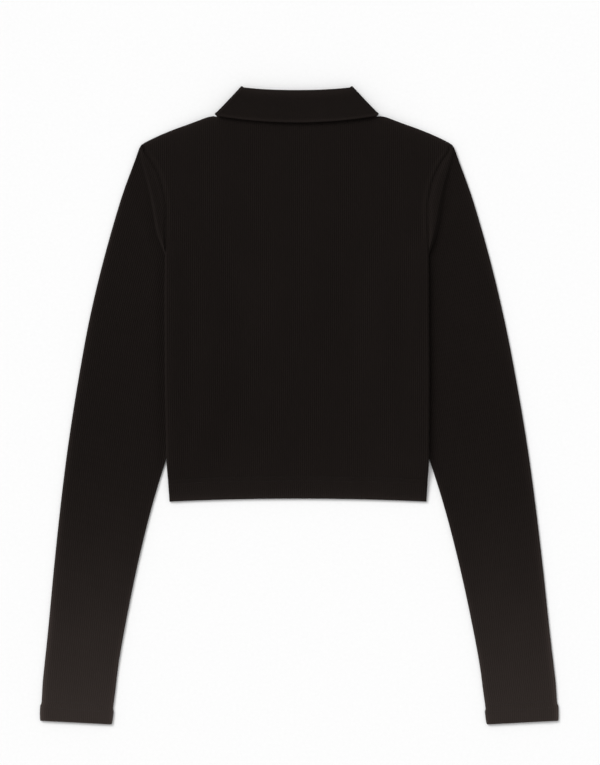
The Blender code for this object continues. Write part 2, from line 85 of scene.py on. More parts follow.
ARMHOLE = (
    Knot(169.0, 284.6, 0.0), Knot(166.5, 277.8, 0.10), Knot(160.0, 268.4, 0.27),
    Knot(152.0, 253.0, 0.50), Knot(147.0, 236.5, 0.70), Knot(144.3, 220.0, 0.88),
    Knot(144.75, 195.25, 0.94), Knot(145.2, 170.5, 1.0),
)
NARROW_KNOT = 5
SHOULDER = ((77.1, 328.8), (82.0, 323.2), (87.5, 317.2), (92.0, 317.9), (98.4, 316.7),
            (108.0, 313.2), (120.0, 308.8), (132.0, 304.6), (144.3, 299.8), (152.0, 296.5),
            (160.0, 292.8), (166.5, 289.5), (169.0, 288.0))
FRONT_NECK = ((0.0, 256.5), (14.0, 256.5), (33.0, 259.0), (52.0, 269.0), (66.0, 286.0),
              (74.0, 305.0), (77.1, 328.8))
BACK_NECK_Y = 322.0
BACK_NECK_RISE = 6.8
NECK_HALF = 77.1
HEM_STITCH_UP = 22.0  # the hem's stitching runs this far above its edge
NEEDLE_HALF = 2.2  # two needle lines, this far to each side of the row's middle
FOLD_RADIUS = 1.2  # of a folded edge
SIDE_ROLL_HEIGHT = 1.6  # the folded side edges stand up a little over the sleeves,
SIDE_ROLL_REACH = 32.0  # from this far in
SIDE_ROLL_END = 12.0  # to this far above the underarm
EDGE_ROWS = (0.0, 0.2, 0.5, 1.0, 1.6)  # up from the hem's edge
TOP_ROWS = (0.8, 0.4, 0.15, 0.0)  # down from the top edge
SIDE_COLUMNS = (1.1, 0.7, 0.35, 0.12, 0.0)  # in from a side edge
ROW_SPACING = 5.5
BACK_HIGH_ROWS = 34  # rows above the narrowest place
FRONT_HIGH_ROWS = 24
SEAM_SINK = 0.34  # the cloth sinks this deep at an armhole seam,
SEAM_SINK_MORE = 0.26  # deeper by this near the shoulder,
SEAM_WIDTH = 1.3
SWELL_HEIGHT = 0.16  # and swells a little beside it
SWELL_AWAY = 4.0
SWELL_WIDTH = 2.2
NEEDLE_PRESS = 0.22
NEEDLE_WIDTH = 0.8
HEM_THICKER = 0.18  # the doubled hem stands up a little,
CUFF_THICKER = 0.15  # and the doubled cuff
ROLL_RADIUS_OUTSIDE = 2.0  # of the rolled side edge
ROLL_RADIUS_INSIDE = 3.0
PANEL_WAVE = 0.10  # slow unevenness of hand-laid cloth, here and on the sleeves
# Painted highlight on a seam's swell:
SWELL_HIGHLIGHT = 3.0  # lightness for each millimetre that a seam's swell stands up
PRESSED_RIBS = 2.5  # ribs lose this share of their height for each millimetre pressed

# ---- sleeves ----
SLEEVE_FOLD = ((171.3, 286.5), (170.2, 277.0), (167.5, 265.5), (162.5, 248.5),
               (158.6, 232.0), (155.5, 216.0), (151.0, 190.5), (144.8, 169.6))
WALE_GUIDE_START = (160.0, 320.0)  # the wales run along the sleeve's outer edge, and
WALE_GUIDE_END = (285.9, -400.0)  # straight on past both of its ends
COURSE_GUIDE_END = (293.6, -400.0)
SEAM_GAP = (-0.22, 0.12)  # from the body's edge to the sleeve's
SEAM_OUTER = (168.8, 288.1)
FOLD_FOOT = (3.9, -0.8)  # from the top of the fold to its foot
FOOT_OUTER = (173.6, 282.3)
FOOT_INNER = (144.5, 164.0)
BELOW_FOOT = 0.23  # one more ring, this share of the way on from the fold's foot
SLEEVE_RINGS = (  # x and y at the outer edge, then at the inner edge
    (194.0, 225.5, 133.0, 120.0),
    (212.9, 159.5, 107.9, 84.7),
    (228.6, 93.5, 113.6, 42.9),
    (241.1, 27.5, 125.9, -3.3),
    (251.9, -38.5, 141.6, -49.5),
    (260.1, -99.0, 161.4, -113.3),
    (268.3, -170.5, 178.9, -183.7),
    (275.5, -242.0, 193.3, -254.1),
    (280.7, -289.3, 200.4, -297.0),
    (285.1, -328.7, 204.1, -335.1),
    (285.5, -345.6, 206.0, -349.8),
    (284.4, -347.2, 207.4, -351.3),
)
# Rings are numbered from 0 at the armhole seam, over 1 on top of the fold, to the cuff's end.
FOOT_RING = 2
CUFF_STITCH_RING = 13.0
CUFF_DEPTH = 17.0  # between the rings on either side of the stitching
END_RING = 14.0  # the cuff's end is rounded from here on
END_STEP = 2.2
RIB_STEP = RIB_PITCH / 4  # columns of the sleeve's upper side follow its ribs
RIB_SLIVER = 0.12  # and none comes closer than this to the next
EDGE_COLUMNS = (0.0, 0.06, 0.22, 0.5, 0.9, 1.4)  # columns by each folded edge
RIBS_START = 1.9  # the ribs' columns begin this far in
UNDER_COLUMNS = 36
INNER_COLUMNS = 20
INNER_INSET = 1.3  # the inside of the tube stays this far from its edges
CUFF_PINCH = 1.1  # the sleeve is this much narrower at each edge above its cuff
END_DROP = 0.9  # the cuff's end is rounded by this from above
END_RISE = 0.4  # and by this from below
SLEEVE_SINK = 0.5  # the body presses the sleeve down beside its side edge,
FOLD_PUFF = 1.2  # the sleeve's fold by the armhole stands up,
EDGE_FALL = 0.9  # and its upper side falls away towards both edges

Crease = namedtuple("Crease", "x y angle length width size")
SLEEVE_CREASES = (
    Crease(172.0, 205.0, 1.15, 42.0, 6.0, 0.35),
    Crease(190.0, 150.0, 0.75, 38.0, 9.0, -0.30),
    Crease(196.0, 18.0, 0.22, 34.0, 8.0, -0.28),
    Crease(214.0, -12.0, 0.05, 26.0, 7.0, 0.22),
    Crease(226.0, -210.0, 1.35, 46.0, 10.0, 0.20),
    Crease(243.0, -292.0, 1.5, 30.0, 7.0, -0.18),
)

# ---- collar ----
STAND_RADIUS = GAP / 2 + WALL / 2
FALL_RADIUS = STAND_RADIUS + WALL + RIB + GAP
SIDE_NORMAL = (0.738, 0.676)  # the way the collar faces where it turns at the neck's side
BACK_ROLL_Y = 345.0
BACK_LEAF_Y = 310.3
COLLAR_STAND_OFF = 2.6  # the fall's edge stands this far off the back
COLLAR_RIM = 0.30  # its knitted rim stands up,
RIM_GROOVE = 0.12  # with a groove above it
FRONT_COLLAR = (  # x and y at the neck seam, at the roll and at the fall's edge
    (76.9, 329.1, 59.3, 348.3, 87.5, 317.5),
    (73.7, 305.1, 56.5, 330.0, 88.3, 300.0),
    (65.8, 286.2, 50.0, 308.0, 86.0, 281.0),
    (51.8, 269.3, 39.0, 290.0, 81.0, 264.0),
    (32.9, 259.3, 24.0, 276.5, 74.0, 247.0),
    (14.0, 256.8, 10.0, 270.0, 63.0, 231.0),
    (1.5, 256.8, 1.5, 268.5, 50.0, 219.0),
)
SIDE_SEAM, SIDE_ROLL, SIDE_LEAF = (FRONT_COLLAR[0][k:k + 2] for k in (0, 2, 4))
STAND_STEPS = 8
ROLL_STEPS = 12  # half a turn
ROLL_LENGTH = 3.6
FALL_STEPS = 32
BACK_STEPS = 41  # stations along the back half of the neck,
TURN_STEPS = 12  # round its side
FRONT_STEPS = 40  # and on to the front

# ---- placket and buttons ----
PLACKET_HALF = 14.0
PLACKET_OUTER_HALF = 13.0
PLACKET_TOP = 254.5
PLACKET_INNER_TOP = 256.5
PLACKET_BOTTOM = 115.5
PLACKET_OUTER_BOTTOM = 113.8
PLACKET_STITCH_IN = 2.2
PLACKET_SINK = 0.14  # the stitching presses the band down,
PLACKET_SOFT = 0.45  # and its folded edges are rounded
PLACKET_WAVE = 0.03
PLACKET_INNER_Z = (3.35, 4.55)
PLACKET_OUTER_Z = (1.85, 3.05)
BUTTON_YS = (241.0, 190.0, 139.0)
BUTTON_RADIUS = 5.5
BUTTON_THICKNESS = 1.55
BUTTON_SHARP = math.radians(35.0)
RIM_WIDTH = 1.15  # the button's flat rim,
RIM_SLOPE = 0.45  # the slope inside it,
DISH_DEPTH = 0.42  # down to the dished middle,
RIM_SOFTNESS = 0.32  # and its rounded edges
HOLE_RADIUS = 0.72
HOLE_OUT = 1.3  # the four holes' middles, to each side of the button's

# ---- sewing ----
STITCH_STEP = 2.6
THREAD_RADIUS = 0.21
THREAD_SIDES = 6
STITCH_SHAPE = ((-0.5, 0.35), (-0.3, 0.9), (0.0, 1.0), (0.3, 0.9), (0.5, 0.35))
THREAD_RISE = 0.10  # a stitch lies this far above the cloth round it
PLACKET_BOX = 9.0  # height of the box at the placket's foot
HOLE_LENGTH = 13.2  # of a buttonhole, between its bars
LIP_STITCHES = 25
LIP_OUT = 0.85  # its lips, to each side of its middle
BAR_AWAY = 7.1
BUTTON_THREAD_ZS = (0.36, 1.72)  # on a button's face and on its back
Stitch = namedtuple("Stitch", "x y z way_x way_y length radius",
                    defaults=(2.0, THREAD_RADIUS))
PLACKET_THREAD = (1.9, 0.19)  # lengths and radii of the other stitches
LIP_THREAD = (1.3, 0.26)
BAR_THREAD = (3.2, 0.26)
BUTTON_THREAD = (3.0, 0.20)

# ---- photo and light, in metres apart from the photo's scale ----
PHOTO_WIDTH_PX = 600
PHOTO_HEIGHT_PX = 765
MM_PER_PX = 1.1
SHIRT_MIDDLE_PX = (299.25, 405.2)  # where x = 0, y = 0 falls in the photo
CAMERA_HEIGHT = 3.0
CAMERA_SENSOR = 36.0
CLOTH_TOP = 0.0045
Sun = namedtuple("Sun", "name strength softness way")  # softness in degrees
KEY_LIGHT = Sun("key_light", 2.15, 28.0, (-1.2, 1.2, 1.45))
SIDE_LAMPS = (Sun("side_lamp_left", 2.8, 40.0, (-1.0, 0.25, 0.42)),
              Sun("side_lamp_right", 0.9, 50.0, (1.0, 0.1, 0.42)))
CUFF_LAMPS = (("cuff_lamp_left", 170.0, -0.26), ("cuff_lamp_right", 145.0, 0.26))  # with x
CUFF_LAMP_Y = -0.62
CUFF_LAMP_HEIGHT = 0.90
WHITE = (1.0, 1.0, 1.0, 1.0)
SKY_STRENGTH = 0.625
FLOOR_SIZE = 40.0
FLOOR_DROP = 0.0002  # the paper lies just under the shirt

# ---- colours and depths of the finishes, depths in metres ----
# The yarn's lightness stops: the darkest is reached by the painted groove shade, the lightest by
# painted light.
YARN_STOPS = ((0.05, (0.0020, 0.0014, 0.0012)), (0.45, (0.0057, 0.0041, 0.0035)),
              (0.85, (0.0092, 0.0069, 0.0061)), (1.0, (0.0138, 0.01035, 0.00915)))
FUZZ_COLOUR = (0.037, 0.031, 0.028, 1.0)
THREAD_COLOUR = (0.0042, 0.0031, 0.0026)
YARN_SCALE = 2400.0
DYE_SCALE = 26.0
LEG_SLANT = 1.1  # of the two legs of a stitch
STITCH_DEPTH = 0.00009
YARN_DEPTH = 0.00010
SEAM_JUMP = 0.05  # no face is as wide as this in cloth coordinates


# ---- reading the tables ----
def ease(share):
    share = min(max(share, 0.0), 1.0)
    return share * share * (3.0 - 2.0 * share)


def ramp(value, start, end):
    return ease((value - start) / (end - start))


def mix(a, b, share):
    return tuple(p + (q - p) * share for p, q in zip(a, b))


def read_straight(points, x):
    """y at x, straight between the points."""
    for (x0, y0), (x1, y1) in zip(points, points[1:]):
        if x <= x1:
            return y0 + (y1 - y0) * (x - x0) / (x1 - x0)
    return points[-1][1]


def run_lengths(points):
    """How far along a line each of its points is."""
    run = [0.0]
    for a, b in zip(points, points[1:]):
        run.append(run[-1] + math.dist(a, b))
    return run


def run_shares(points):
    run = run_lengths(points)
    return [length / run[-1] for length in run]


def bend_through(rows, position):
    """A smooth curve through evenly numbered rows of values, read at a row position."""
    k = min(int(position), len(rows) - 2)
    t = position - k
    before = rows[max(k - 1, 0)]
    after = rows[min(k + 2, len(rows) - 1)]
    values = []
    for p0, p1, p2, p3 in zip(before, rows[k], rows[k + 1], after):
        slope_a = (p2 - p0) / 2
        slope_b = (p3 - p1) / 2
        values.append(p1 + slope_a * t + (3 * (p2 - p1) - 2 * slope_a - slope_b) * t * t
                      + (2 * (p1 - p2) + slope_a + slope_b) * t * t * t)
    return tuple(values)


def dense_line(points, steps=24):
    """The smooth curve through (x, y) points, as many short straight ones."""
    return [bend_through(points, k / steps) for k in range(steps * (len(points) - 1) + 1)]


SHOULDER_CURVE = dense_line(SHOULDER[3:])
ARMHOLE_CURVE = dense_line([knot[:2] for knot in reversed(ARMHOLE[:NARROW_KNOT + 1])])
FRONT_NECK_CURVE = sorted(dense_line(FRONT_NECK))


def middle_x(y):
    return LEAN * min(max((y - LEAN_BOTTOM) / (LEAN_TOP - LEAN_BOTTOM), 0.0), 1.0)


def place(x, y, z):
    """A point of the shirt's own tables, in the scene's metres."""
    return ((x + middle_x(y)) * MM, y * MM, z * MM)


def fade(distance, reach):
    """1 at no distance, fading softly to nothing at about twice the reach."""
    return math.exp(-(distance / reach) ** 2)


def rounded(distance, radius=FOLD_RADIUS):
    """Share of the full height that cloth has this far in from a folded edge."""
    near = 1.0 - min(distance / radius, 1.0)
    return math.sqrt(max(1.0 - near * near, 0.0))


def wander(x, y, size, seed):
    """Slow uneven waves between -1 and 1 with the given size, for hand-laid cloth."""
    a = math.sin(x / size * 2.1 + seed) * math.cos(y / size * 1.3 + 2.0 * seed)
    b = math.sin((x + y) / size * 0.9 + 3.1 * seed)
    return 0.6 * a + 0.4 * b


# ---- building pieces ----
def closed_mesh(name, points, faces):
    """A mesh whose faces point outwards."""
    mesh = bpy.data.meshes.new(name)
    mesh.from_pydata(points, [], faces)
    bm = bmesh.new()
    bm.from_mesh(mesh)
    bmesh.ops.recalc_face_normals(bm, faces=bm.faces[:])
    bm.to_mesh(mesh)
    bm.free()
    mesh.shade_smooth()
    return mesh


def add_piece(name, mesh, material):
    mesh.materials.append(material)
    piece = bpy.data.objects.new(name, mesh)
    bpy.context.scene.collection.objects.link(piece)
    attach(piece, "root")
    return piece


class Cloth:
    """Points, faces and cloth coordinates of one piece while it is made."""

    def __init__(self):
        self.points = []
        self.coords = []
        self.painted_light = []
        self.faces = []

    def rows(self, columns):
        """Adds columns of (x, y, z, across, along, painted light) points and returns their
        numbers.
        """
        return [[point and self.add(point) for point in column] for column in columns]

    def add(self, point):
        self.points.append(place(*point[:3]))
        self.coords.append((point[3] * MM, point[4] * MM))
        self.painted_light.append(point[5] if len(point) > 5 else 0.0)
        return len(self.points) - 1

    def skin(self, columns, keep=None):
        """Faces between neighbouring columns, apart from those that keep turns down."""
        for c, (left, right) in enumerate(zip(columns, columns[1:])):
            for r in range(len(left) - 1):
                face = (left[r], right[r], right[r + 1], left[r + 1])
                if None not in face and (keep is None or keep(c, r)):
                    self.faces.append(face)

    def wall(self, skins, keep=None):
        """Two skins of one layout, with faces round every free edge between them."""
        for skin in skins:
            self.skin(skin, keep)
        partner = {}
        for column_a, column_b in zip(*skins):
            partner.update({a: b for a, b in zip(column_a, column_b) if a is not None})
        count = {}
        for face in self.faces:
            for a, b in zip(face, face[1:] + face[:1]):
                if a in partner and b in partner:
                    edge = (min(a, b), max(a, b))
                    count[edge] = count.get(edge, 0) + 1
        for (a, b), faces in count.items():
            if faces == 1:
                self.faces.append((a, b, partner[b], partner[a]))

    def join(self, corners):
        """A face round the corners, where some of them may be the same point."""
        face = tuple(n for k, n in enumerate(corners) if n != corners[k - 1])
        if len(face) > 2:
            self.faces.append(face)

    def zip_up(self, line_a, line_b):
        """Joins two edges that run side by side."""
        shares_a = run_shares([self.points[number] for number in line_a]) + [math.inf]
        shares_b = run_shares([self.points[number] for number in line_b]) + [math.inf]
        a = b = 0
        while a < len(line_a) - 1 or b < len(line_b) - 1:
            if shares_a[a + 1] <= shares_b[b + 1]:
                self.faces.append((line_a[a], line_a[a + 1], line_b[b]))
                a += 1
            else:
                self.faces.append((line_a[a], line_b[b + 1], line_b[b]))
                b += 1

    def finish(self, name, material, slot, replaced, sharp=40.0):
        """The piece, with its cloth coordinates and its painted light, in the place of a CAD node.
        """
        mesh = closed_mesh(name, self.points, self.faces)
        layer = mesh.uv_layers.new(name="cloth")
        for face in mesh.polygons:
            spots = [self.coords[number] for number in face.vertices]
            values = [across for across, _ in spots]
            # Across a sleeve's underarm seam the sign changes between its two sides.
            seam = max(values) - min(values) > SEAM_JUMP
            for corner, (across, along) in zip(face.loop_indices, spots):
                layer.uv[corner].vector = (abs(across) if seam else across, along)
        # Painted light: each point's lightening of the knit's colour.
        painted_light = mesh.attributes.new("painted_light", "FLOAT", "POINT")
        painted_light.data.foreach_set("value", self.painted_light)
        mesh.set_sharp_from_angle(angle=math.radians(sharp))
        piece = add_piece(name, mesh, material)
        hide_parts(replaced)
        return piece


# ---- materials ----
class Finish:
    """A material while its nodes are joined up."""

    def __init__(self, name):
        self.material = bpy.data.materials.new(name)
        self.material.use_nodes = True
        self.nodes = self.material.node_tree.nodes
        self.spot = self.add("TexCoord").outputs["Object"]

    def feed(self, socket, value):
        """Gives an input a number, a colour or what another node puts out."""
        if isinstance(value, bpy.types.NodeSocket):
            self.material.node_tree.links.new(value, socket)
        else:
            socket.default_value = value

    def add(self, kind, inputs=()):
        node = self.nodes.new("ShaderNode" + kind)
        for key, value in dict(inputs).items():
            self.feed(node.inputs[key], value)
        return node

    def maths(self, operation, *values):
        node = self.add("Math", enumerate(values))
        node.operation = operation
        return node.outputs[0]

    def noise(self, scale, detail=2.0, distortion=0.0):
        return self.add("TexNoise", {"Vector": self.spot, "Scale": scale, "Detail": detail,
                                     "Distortion": distortion}).outputs["Fac"]

    def between(self, value, low, high):
        return self.add("MapRange", {"Value": value, "To Min": low, "To Max": high}).outputs[0]

    def tone(self, value, *stops):
        """The colour that a value picks from (position, colour) stops."""
        node = self.add("ValToRGB", {0: value})
        elements = node.color_ramp.elements
        for element, (position, colour) in zip(elements, (stops[0], stops[-1])):
            element.position = position
            element.color = colour + (1.0,)
        for position, colour in stops[1:-1]:
            elements.new(position).color = colour + (1.0,)
        return node.outputs[0]

    def bump(self, height, distance, strength=1.0):
        return self.add("Bump", {"Height": height, "Distance": distance,
                                 "Strength": strength}).outputs[0]

    def surface(self, inputs):
        for key, value in inputs.items():
            self.feed(self.nodes["Principled BSDF"].inputs[key], value)
        return self.material


def knit_finish(name, wale_width, wale_depth, stitch):
    """Knit on the cloth's own coordinates: wales, V-shaped stitches, yarn, dye and fuzz, with
    painted shade in the grooves and painted light from the mesh.
    """
    finish = Finish(name)
    coords = finish.add("UVMap")
    coords.uv_map = "cloth"
    split = finish.add("SeparateXYZ", {0: coords.outputs[0]})
    across, along = split.outputs[0], split.outputs[1]

    turns = finish.maths("MULTIPLY", across, 2.0 * math.pi / wale_width)
    wale = finish.maths("MULTIPLY_ADD", finish.maths("COSINE", turns), 0.5, 0.5)
    # Painted shade: the grooves between the wales are darkened in colour.
    painted_groove_shade = finish.maths("POWER", finish.maths("SUBTRACT", 1.0, wale), 3.0)
    # The two legs of each stitch slant away from the middle of its wale.
    slant = finish.maths("PINGPONG", across, wale_width / 2)
    course_at = finish.maths("MULTIPLY_ADD", slant, LEG_SLANT, along)
    turns = finish.maths("MULTIPLY", course_at, 2.0 * math.pi / stitch)
    course = finish.maths("MULTIPLY", finish.maths("COSINE", turns), wale)
    yarn = finish.noise(YARN_SCALE)
    dye = finish.noise(DYE_SCALE, detail=3.0)

    height = finish.maths("MULTIPLY", wale, wale_depth)
    height = finish.maths("MULTIPLY_ADD", course, STITCH_DEPTH, height)
    height = finish.maths("MULTIPLY_ADD", yarn, YARN_DEPTH, height)

    # How light the yarn is: its dye and fibres, its stitches, the painted shade of its grooves,
    # and the painted light of its edges.
    painted_light_node = finish.add("Attribute")
    painted_light_node.attribute_name = "painted_light"
    shade = finish.maths("MULTIPLY_ADD", dye, 0.10, 0.275)
    shares = ((yarn, 0.35), (course, 0.12), (painted_groove_shade, -0.30), (painted_light_node.outputs["Fac"], 0.30))
    for part, share in shares:
        shade = finish.maths("MULTIPLY_ADD", part, share, shade)
    return finish.surface({
        "Base Color": finish.tone(shade, *YARN_STOPS),
        "Roughness": finish.between(yarn, 0.80, 0.98),
        "Specular IOR Level": 0.04,
        "Sheen Weight": 0.25,
        "Sheen Roughness": 0.5,
        "Sheen Tint": FUZZ_COLOUR,
        "Normal": finish.bump(height, 1.0, 0.85),
    })


def thread_finish():
    """Twisted sewing thread, a little glossier than the knit."""
    finish = Finish("black_thread")
    twist = finish.add("TexWave", {"Vector": finish.spot, "Scale": 900.0, "Distortion": 2.0})
    twist = twist.outputs["Fac"]
    lighter = tuple(1.6 * part for part in THREAD_COLOUR)
    return finish.surface({
        "Base Color": finish.tone(twist, (0.0, THREAD_COLOUR), (1.0, lighter)),
        "Roughness": 0.7,
        "Specular IOR Level": 0.12,
        "Normal": finish.bump(twist, 0.0001),
    })


def button_finish():
    """Dark moulded resin with faint swirls and fine scratches."""
    finish = Finish("button_resin")
    swirl = finish.noise(260.0, distortion=1.5)
    return finish.surface({
        "Base Color": finish.tone(swirl, (0.35, (0.009, 0.008, 0.0075)),
                                  (0.75, (0.024, 0.020, 0.018))),
        "Roughness": finish.between(swirl, 0.22, 0.42),
        "Specular IOR Level": 0.3,
    })


def paper_finish():
    finish = Finish("pale_paper")
    grain = finish.noise(300.0)
    return finish.surface({
        "Base Color": finish.tone(grain, (0.0, (0.90, 0.90, 0.90)), (1.0, (0.94, 0.94, 0.94))),
        "Roughness": 0.9,
        "Specular IOR Level": 0.1,
    })


# ---- body panels ----
def back_neck_y(x):
    return BACK_NECK_Y + BACK_NECK_RISE * (x / NECK_HALF) ** 2


def shoulder_y(x):
    return read_straight(SHOULDER[:4], x) if x < SHOULDER[3][0] \
        else read_straight(SHOULDER_CURVE, x)


def back_top_y(x):
    return back_neck_y(x) if x < NECK_HALF else shoulder_y(x)


def front_top_y(x):
    return read_straight(FRONT_NECK_CURVE, x) if x < NECK_HALF else shoulder_y(x)


def body_lift(x, y):
    """Height of the front's underside below the narrowest place between the armholes."""
    tuck = read_straight(TUCK_END, y)
    side = read_straight(SIDE_LIFT, y) * ramp(x, tuck - TUCK_SLOPE, tuck)
    neck = read_straight(NECK_LIFT, y) * (1.0 - ramp(x, LEAF_REACH, LEAF_REACH + NECK_SLOPE))
    placket = read_straight(PLACKET_LIFT, y) \
        * (1.0 - ramp(x, PLACKET_HALF, PLACKET_HALF + PLACKET_SLOPE))
    return LIFT * (1.0 - (1.0 - side) * (1.0 - neck) * (1.0 - placket))


def shoulder_lift(x):
    return LIFT * (1.0 - ramp(x, LEAF_REACH, SHOULDER[-1][0]))


def armhole_lift(x):
    lifts = [(knot.x, LIFT * knot.lift) for knot in reversed(ARMHOLE[:NARROW_KNOT + 1])]
    return read_straight(lifts, x)


def low_rows(with_placket=False):
    """Distances from the hem to the narrowest place, closer at the edge and the stitching."""
    rows = list(EDGE_ROWS) + [EDGE_ROWS[-1] + 2.8 * k for k in range(1, 6)]
    rows += [HEM_STITCH_UP - 4.5 + 0.5 * k for k in range(19)]
    start, end = rows[-1], NARROW_Y - HEM_Y
    count = int((end - start) / ROW_SPACING)
    rows += [start + (end - start) * k / count for k in range(1, count + 1)]
    if with_placket:
        slot = PLACKET_BOTTOM - HEM_Y
        rows = sorted([row for row in rows if abs(row - slot) > 1.5] + [slot])
    return rows


def body_column(key, top_edge, low, high_count):
    """(x, y, lift, distance to the top or hem edge) up one wale of a body panel."""
    x = abs(key)
    sign = -1.0 if key < 0 else 1.0
    column = []
    if x <= CHEST_HALF:
        hem = HEM_Y - HEM_DIP * (x / CHEST_HALF) ** 2
        stretch = (NARROW_Y - hem) / (NARROW_Y - HEM_Y)
        for row in low:
            y = hem + row * stretch
            half = read_straight(HALF_WIDTH, y) - GAP / 2
            column.append((sign * x * half / CHEST_HALF, y, body_lift(x, y), y - hem))
        low_y, low_lift, low_x = NARROW_Y, column[-1][2], abs(column[-1][0])
    else:
        column += [None] * (len(low) - 1)
        low_y = read_straight(ARMHOLE_CURVE, x)
        low_lift, low_x = armhole_lift(x), x
        column.append((sign * low_x, low_y, low_lift, FAR))
    top_y, top_lift = top_edge(x), shoulder_lift(x)
    reach = top_y - low_y
    shares = [k / high_count * (1.0 - 1.5 / reach) for k in range(1, high_count + 1)]
    shares += [1.0 - row / reach for row in TOP_ROWS]
    for share in shares:
        column.append((sign * (low_x + (x - low_x) * share if x > CHEST_HALF else low_x),
                       low_y + reach * share, low_lift + (top_lift - low_lift) * share,
                       reach * (1.0 - share)))
    return column


def wale_keys(per_rib):
    """Places across a body panel, from tip to tip, closer together at the side edges."""
    inner = CHEST_HALF - 1.6
    count = int(2 * inner / RIB_PITCH * per_rib)
    keys = [-inner + 2 * inner * k / count for k in range(count + 1)]
    side = [CHEST_HALF - distance for distance in SIDE_COLUMNS]
    wing = int((ARMHOLE[0].x - CHEST_HALF) / RIB_PITCH * per_rib)
    side += [CHEST_HALF + (ARMHOLE[0].x - CHEST_HALF) * k / wing for k in range(1, wing + 1)]
    return [-key for key in reversed(side)] + keys + side


def panel_lines(columns):
    """The hem, top, left and right edges of a body panel."""
    hem = [column[0] for column in columns if column[0] is not None]
    top = [column[-1] for column in columns]
    sides = []
    for ordered in (columns, columns[::-1]):
        wing = 0
        while ordered[wing][0] is None:
            wing += 1
        start = next(k for k, number in enumerate(ordered[0]) if number is not None)
        line = ordered[0][:start:-1] + [column[start] for column in ordered[:wing]]
        sides.append(line + ordered[wing][start::-1])
    return hem, top, sides[0], sides[1]


def seam_profile(distance, y):
    """Cloth sinks into a seam, less by the underarm, and swells a little beside it."""
    sink = SEAM_SINK + SEAM_SINK_MORE * ramp(y, NARROW_Y, NARROW_Y + 35.0)
    return SWELL_HEIGHT * fade(distance - SWELL_AWAY, SWELL_WIDTH) \
        - sink * fade(distance, SEAM_WIDTH)


def armhole_profile(x, y):
    if x < CHEST_HALF - 12.0:
        return 0.0
    nearest = abs(CHEST_HALF - x)
    if y > NARROW_Y:
        nearest = min(math.hypot(x - p[0], y - p[1]) for p in ARMHOLE_CURVE)
    return seam_profile(nearest, y) * ramp(y, UNDERARM_Y, UNDERARM_Y + 14.0)


def side_edge(x, y):
    """Shares of full height by the side edge: a tight fold, and a broad soft roll."""
    if x > CHEST_HALF:
        return 1.0, 1.0
    blend = ramp(y, UNDERARM_Y, UNDERARM_Y + 18.0)
    tight = rounded(CHEST_HALF - x)
    broad = rounded(CHEST_HALF - x, 6.5)
    return tight + (1.0 - tight) * blend, broad + (1.0 - broad) * blend


def side_roll(x, y, radius, inset=0.0):
    """Extra height of the back where its side edge rolls over the sleeve."""
    if x > CHEST_HALF or y > UNDERARM_Y + SIDE_ROLL_END:
        return 0.0
    lengthwise = ramp(y, HEM_Y + 6.0, HEM_Y + 40.0) \
        * (1.0 - ramp(y, UNDERARM_Y - 8.0, UNDERARM_Y + SIDE_ROLL_END))
    crosswise = ramp(x, CHEST_HALF - SIDE_ROLL_REACH, CHEST_HALF - 3.0)
    edge = rounded(max(CHEST_HALF - x - inset, 0.0), radius)
    return SIDE_ROLL_HEIGHT * lengthwise * crosswise * edge


def rib_height(across, pressed):
    """Height of the ribs at a place across the wales; the needle lines press them down."""
    return RIB * (0.5 + 0.5 * math.cos(2.0 * math.pi * across / RIB_PITCH)) \
        * (1.0 - PRESSED_RIBS * pressed)


def stitch_groove(distance):
    """How far the two needle lines press the cloth down."""
    return NEEDLE_PRESS * (fade(distance - NEEDLE_HALF, NEEDLE_WIDTH)
                           + fade(distance + NEEDLE_HALF, NEEDLE_WIDTH))


def back_height(key, x, y, from_edge):
    """Height of the back's outer face above its underside."""
    tight, broad = side_edge(abs(key), y)
    tight = min(tight, rounded(from_edge))
    pressed = stitch_groove(from_edge - HEM_STITCH_UP) if y < 0 else 0.0
    height = (WALL + rib_height(key, pressed)) * (0.35 + 0.65 * tight) - 0.35 * (1.0 - broad)
    height += armhole_profile(abs(key), y) + side_roll(abs(key), y, ROLL_RADIUS_OUTSIDE)
    height -= pressed
    if y < 0 and from_edge < HEM_STITCH_UP:
        height += HEM_THICKER * rounded(HEM_STITCH_UP - from_edge, 5.0)
    return height + PANEL_WAVE * wander(x, y, 60.0, 1.0)


# Painted light: the knit is made lighter along edges, seams, the hem and the shoulders, each by a
# lightness between 0 and about 1.5.
def hem_painted_light(from_edge):
    """Painted light: lightest at the edge, then over the doubled hem, then fading up the cloth
    above it.
    """
    return 0.9 * fade(from_edge, 5.5) + 0.22 * (1.0 - ramp(from_edge, 14.0, 26.0)) \
        + 0.16 * (1.0 - ramp(from_edge, 20.0, 90.0))


def shoulder_painted_light(from_edge):
    # Painted light: lighter along the shoulder's edge and more broadly over the shoulder.
    return 1.3 * fade(from_edge, 3.6) + 0.35 * fade(from_edge, 15.0)


def panel_painted_light(key, y):
    """Painted light along the side seams, and a painted highlight on the swell beside the armhole
    seams.
    """
    x = abs(key)
    if x <= CHEST_HALF and y < UNDERARM_Y + 10.0:
        return 0.3 * fade(CHEST_HALF - x, 5.0)
    return max(armhole_profile(x, y) * SWELL_HIGHLIGHT, 0.0)


def front_painted_light(key, y, from_edge):
    # Painted light along the front's edges and its seams.
    return max(fade(from_edge, 2.6), panel_painted_light(key, y))


def back_outside(key, x, y, lift, from_edge):
    painted_light = hem_painted_light(from_edge) if y < 0 else shoulder_painted_light(from_edge)
    z = lift + UPPER + back_height(key, x, y, from_edge)
    return x, y, z, key, y, max(painted_light, panel_painted_light(key, y))


def back_inside(key, x, y, lift, _):
    """Plain, and rolled round the same edge as the outside, one wall further in."""
    roll = side_roll(abs(key), y, ROLL_RADIUS_INSIDE, WALL)
    return x, y, lift + UPPER + roll, key, y


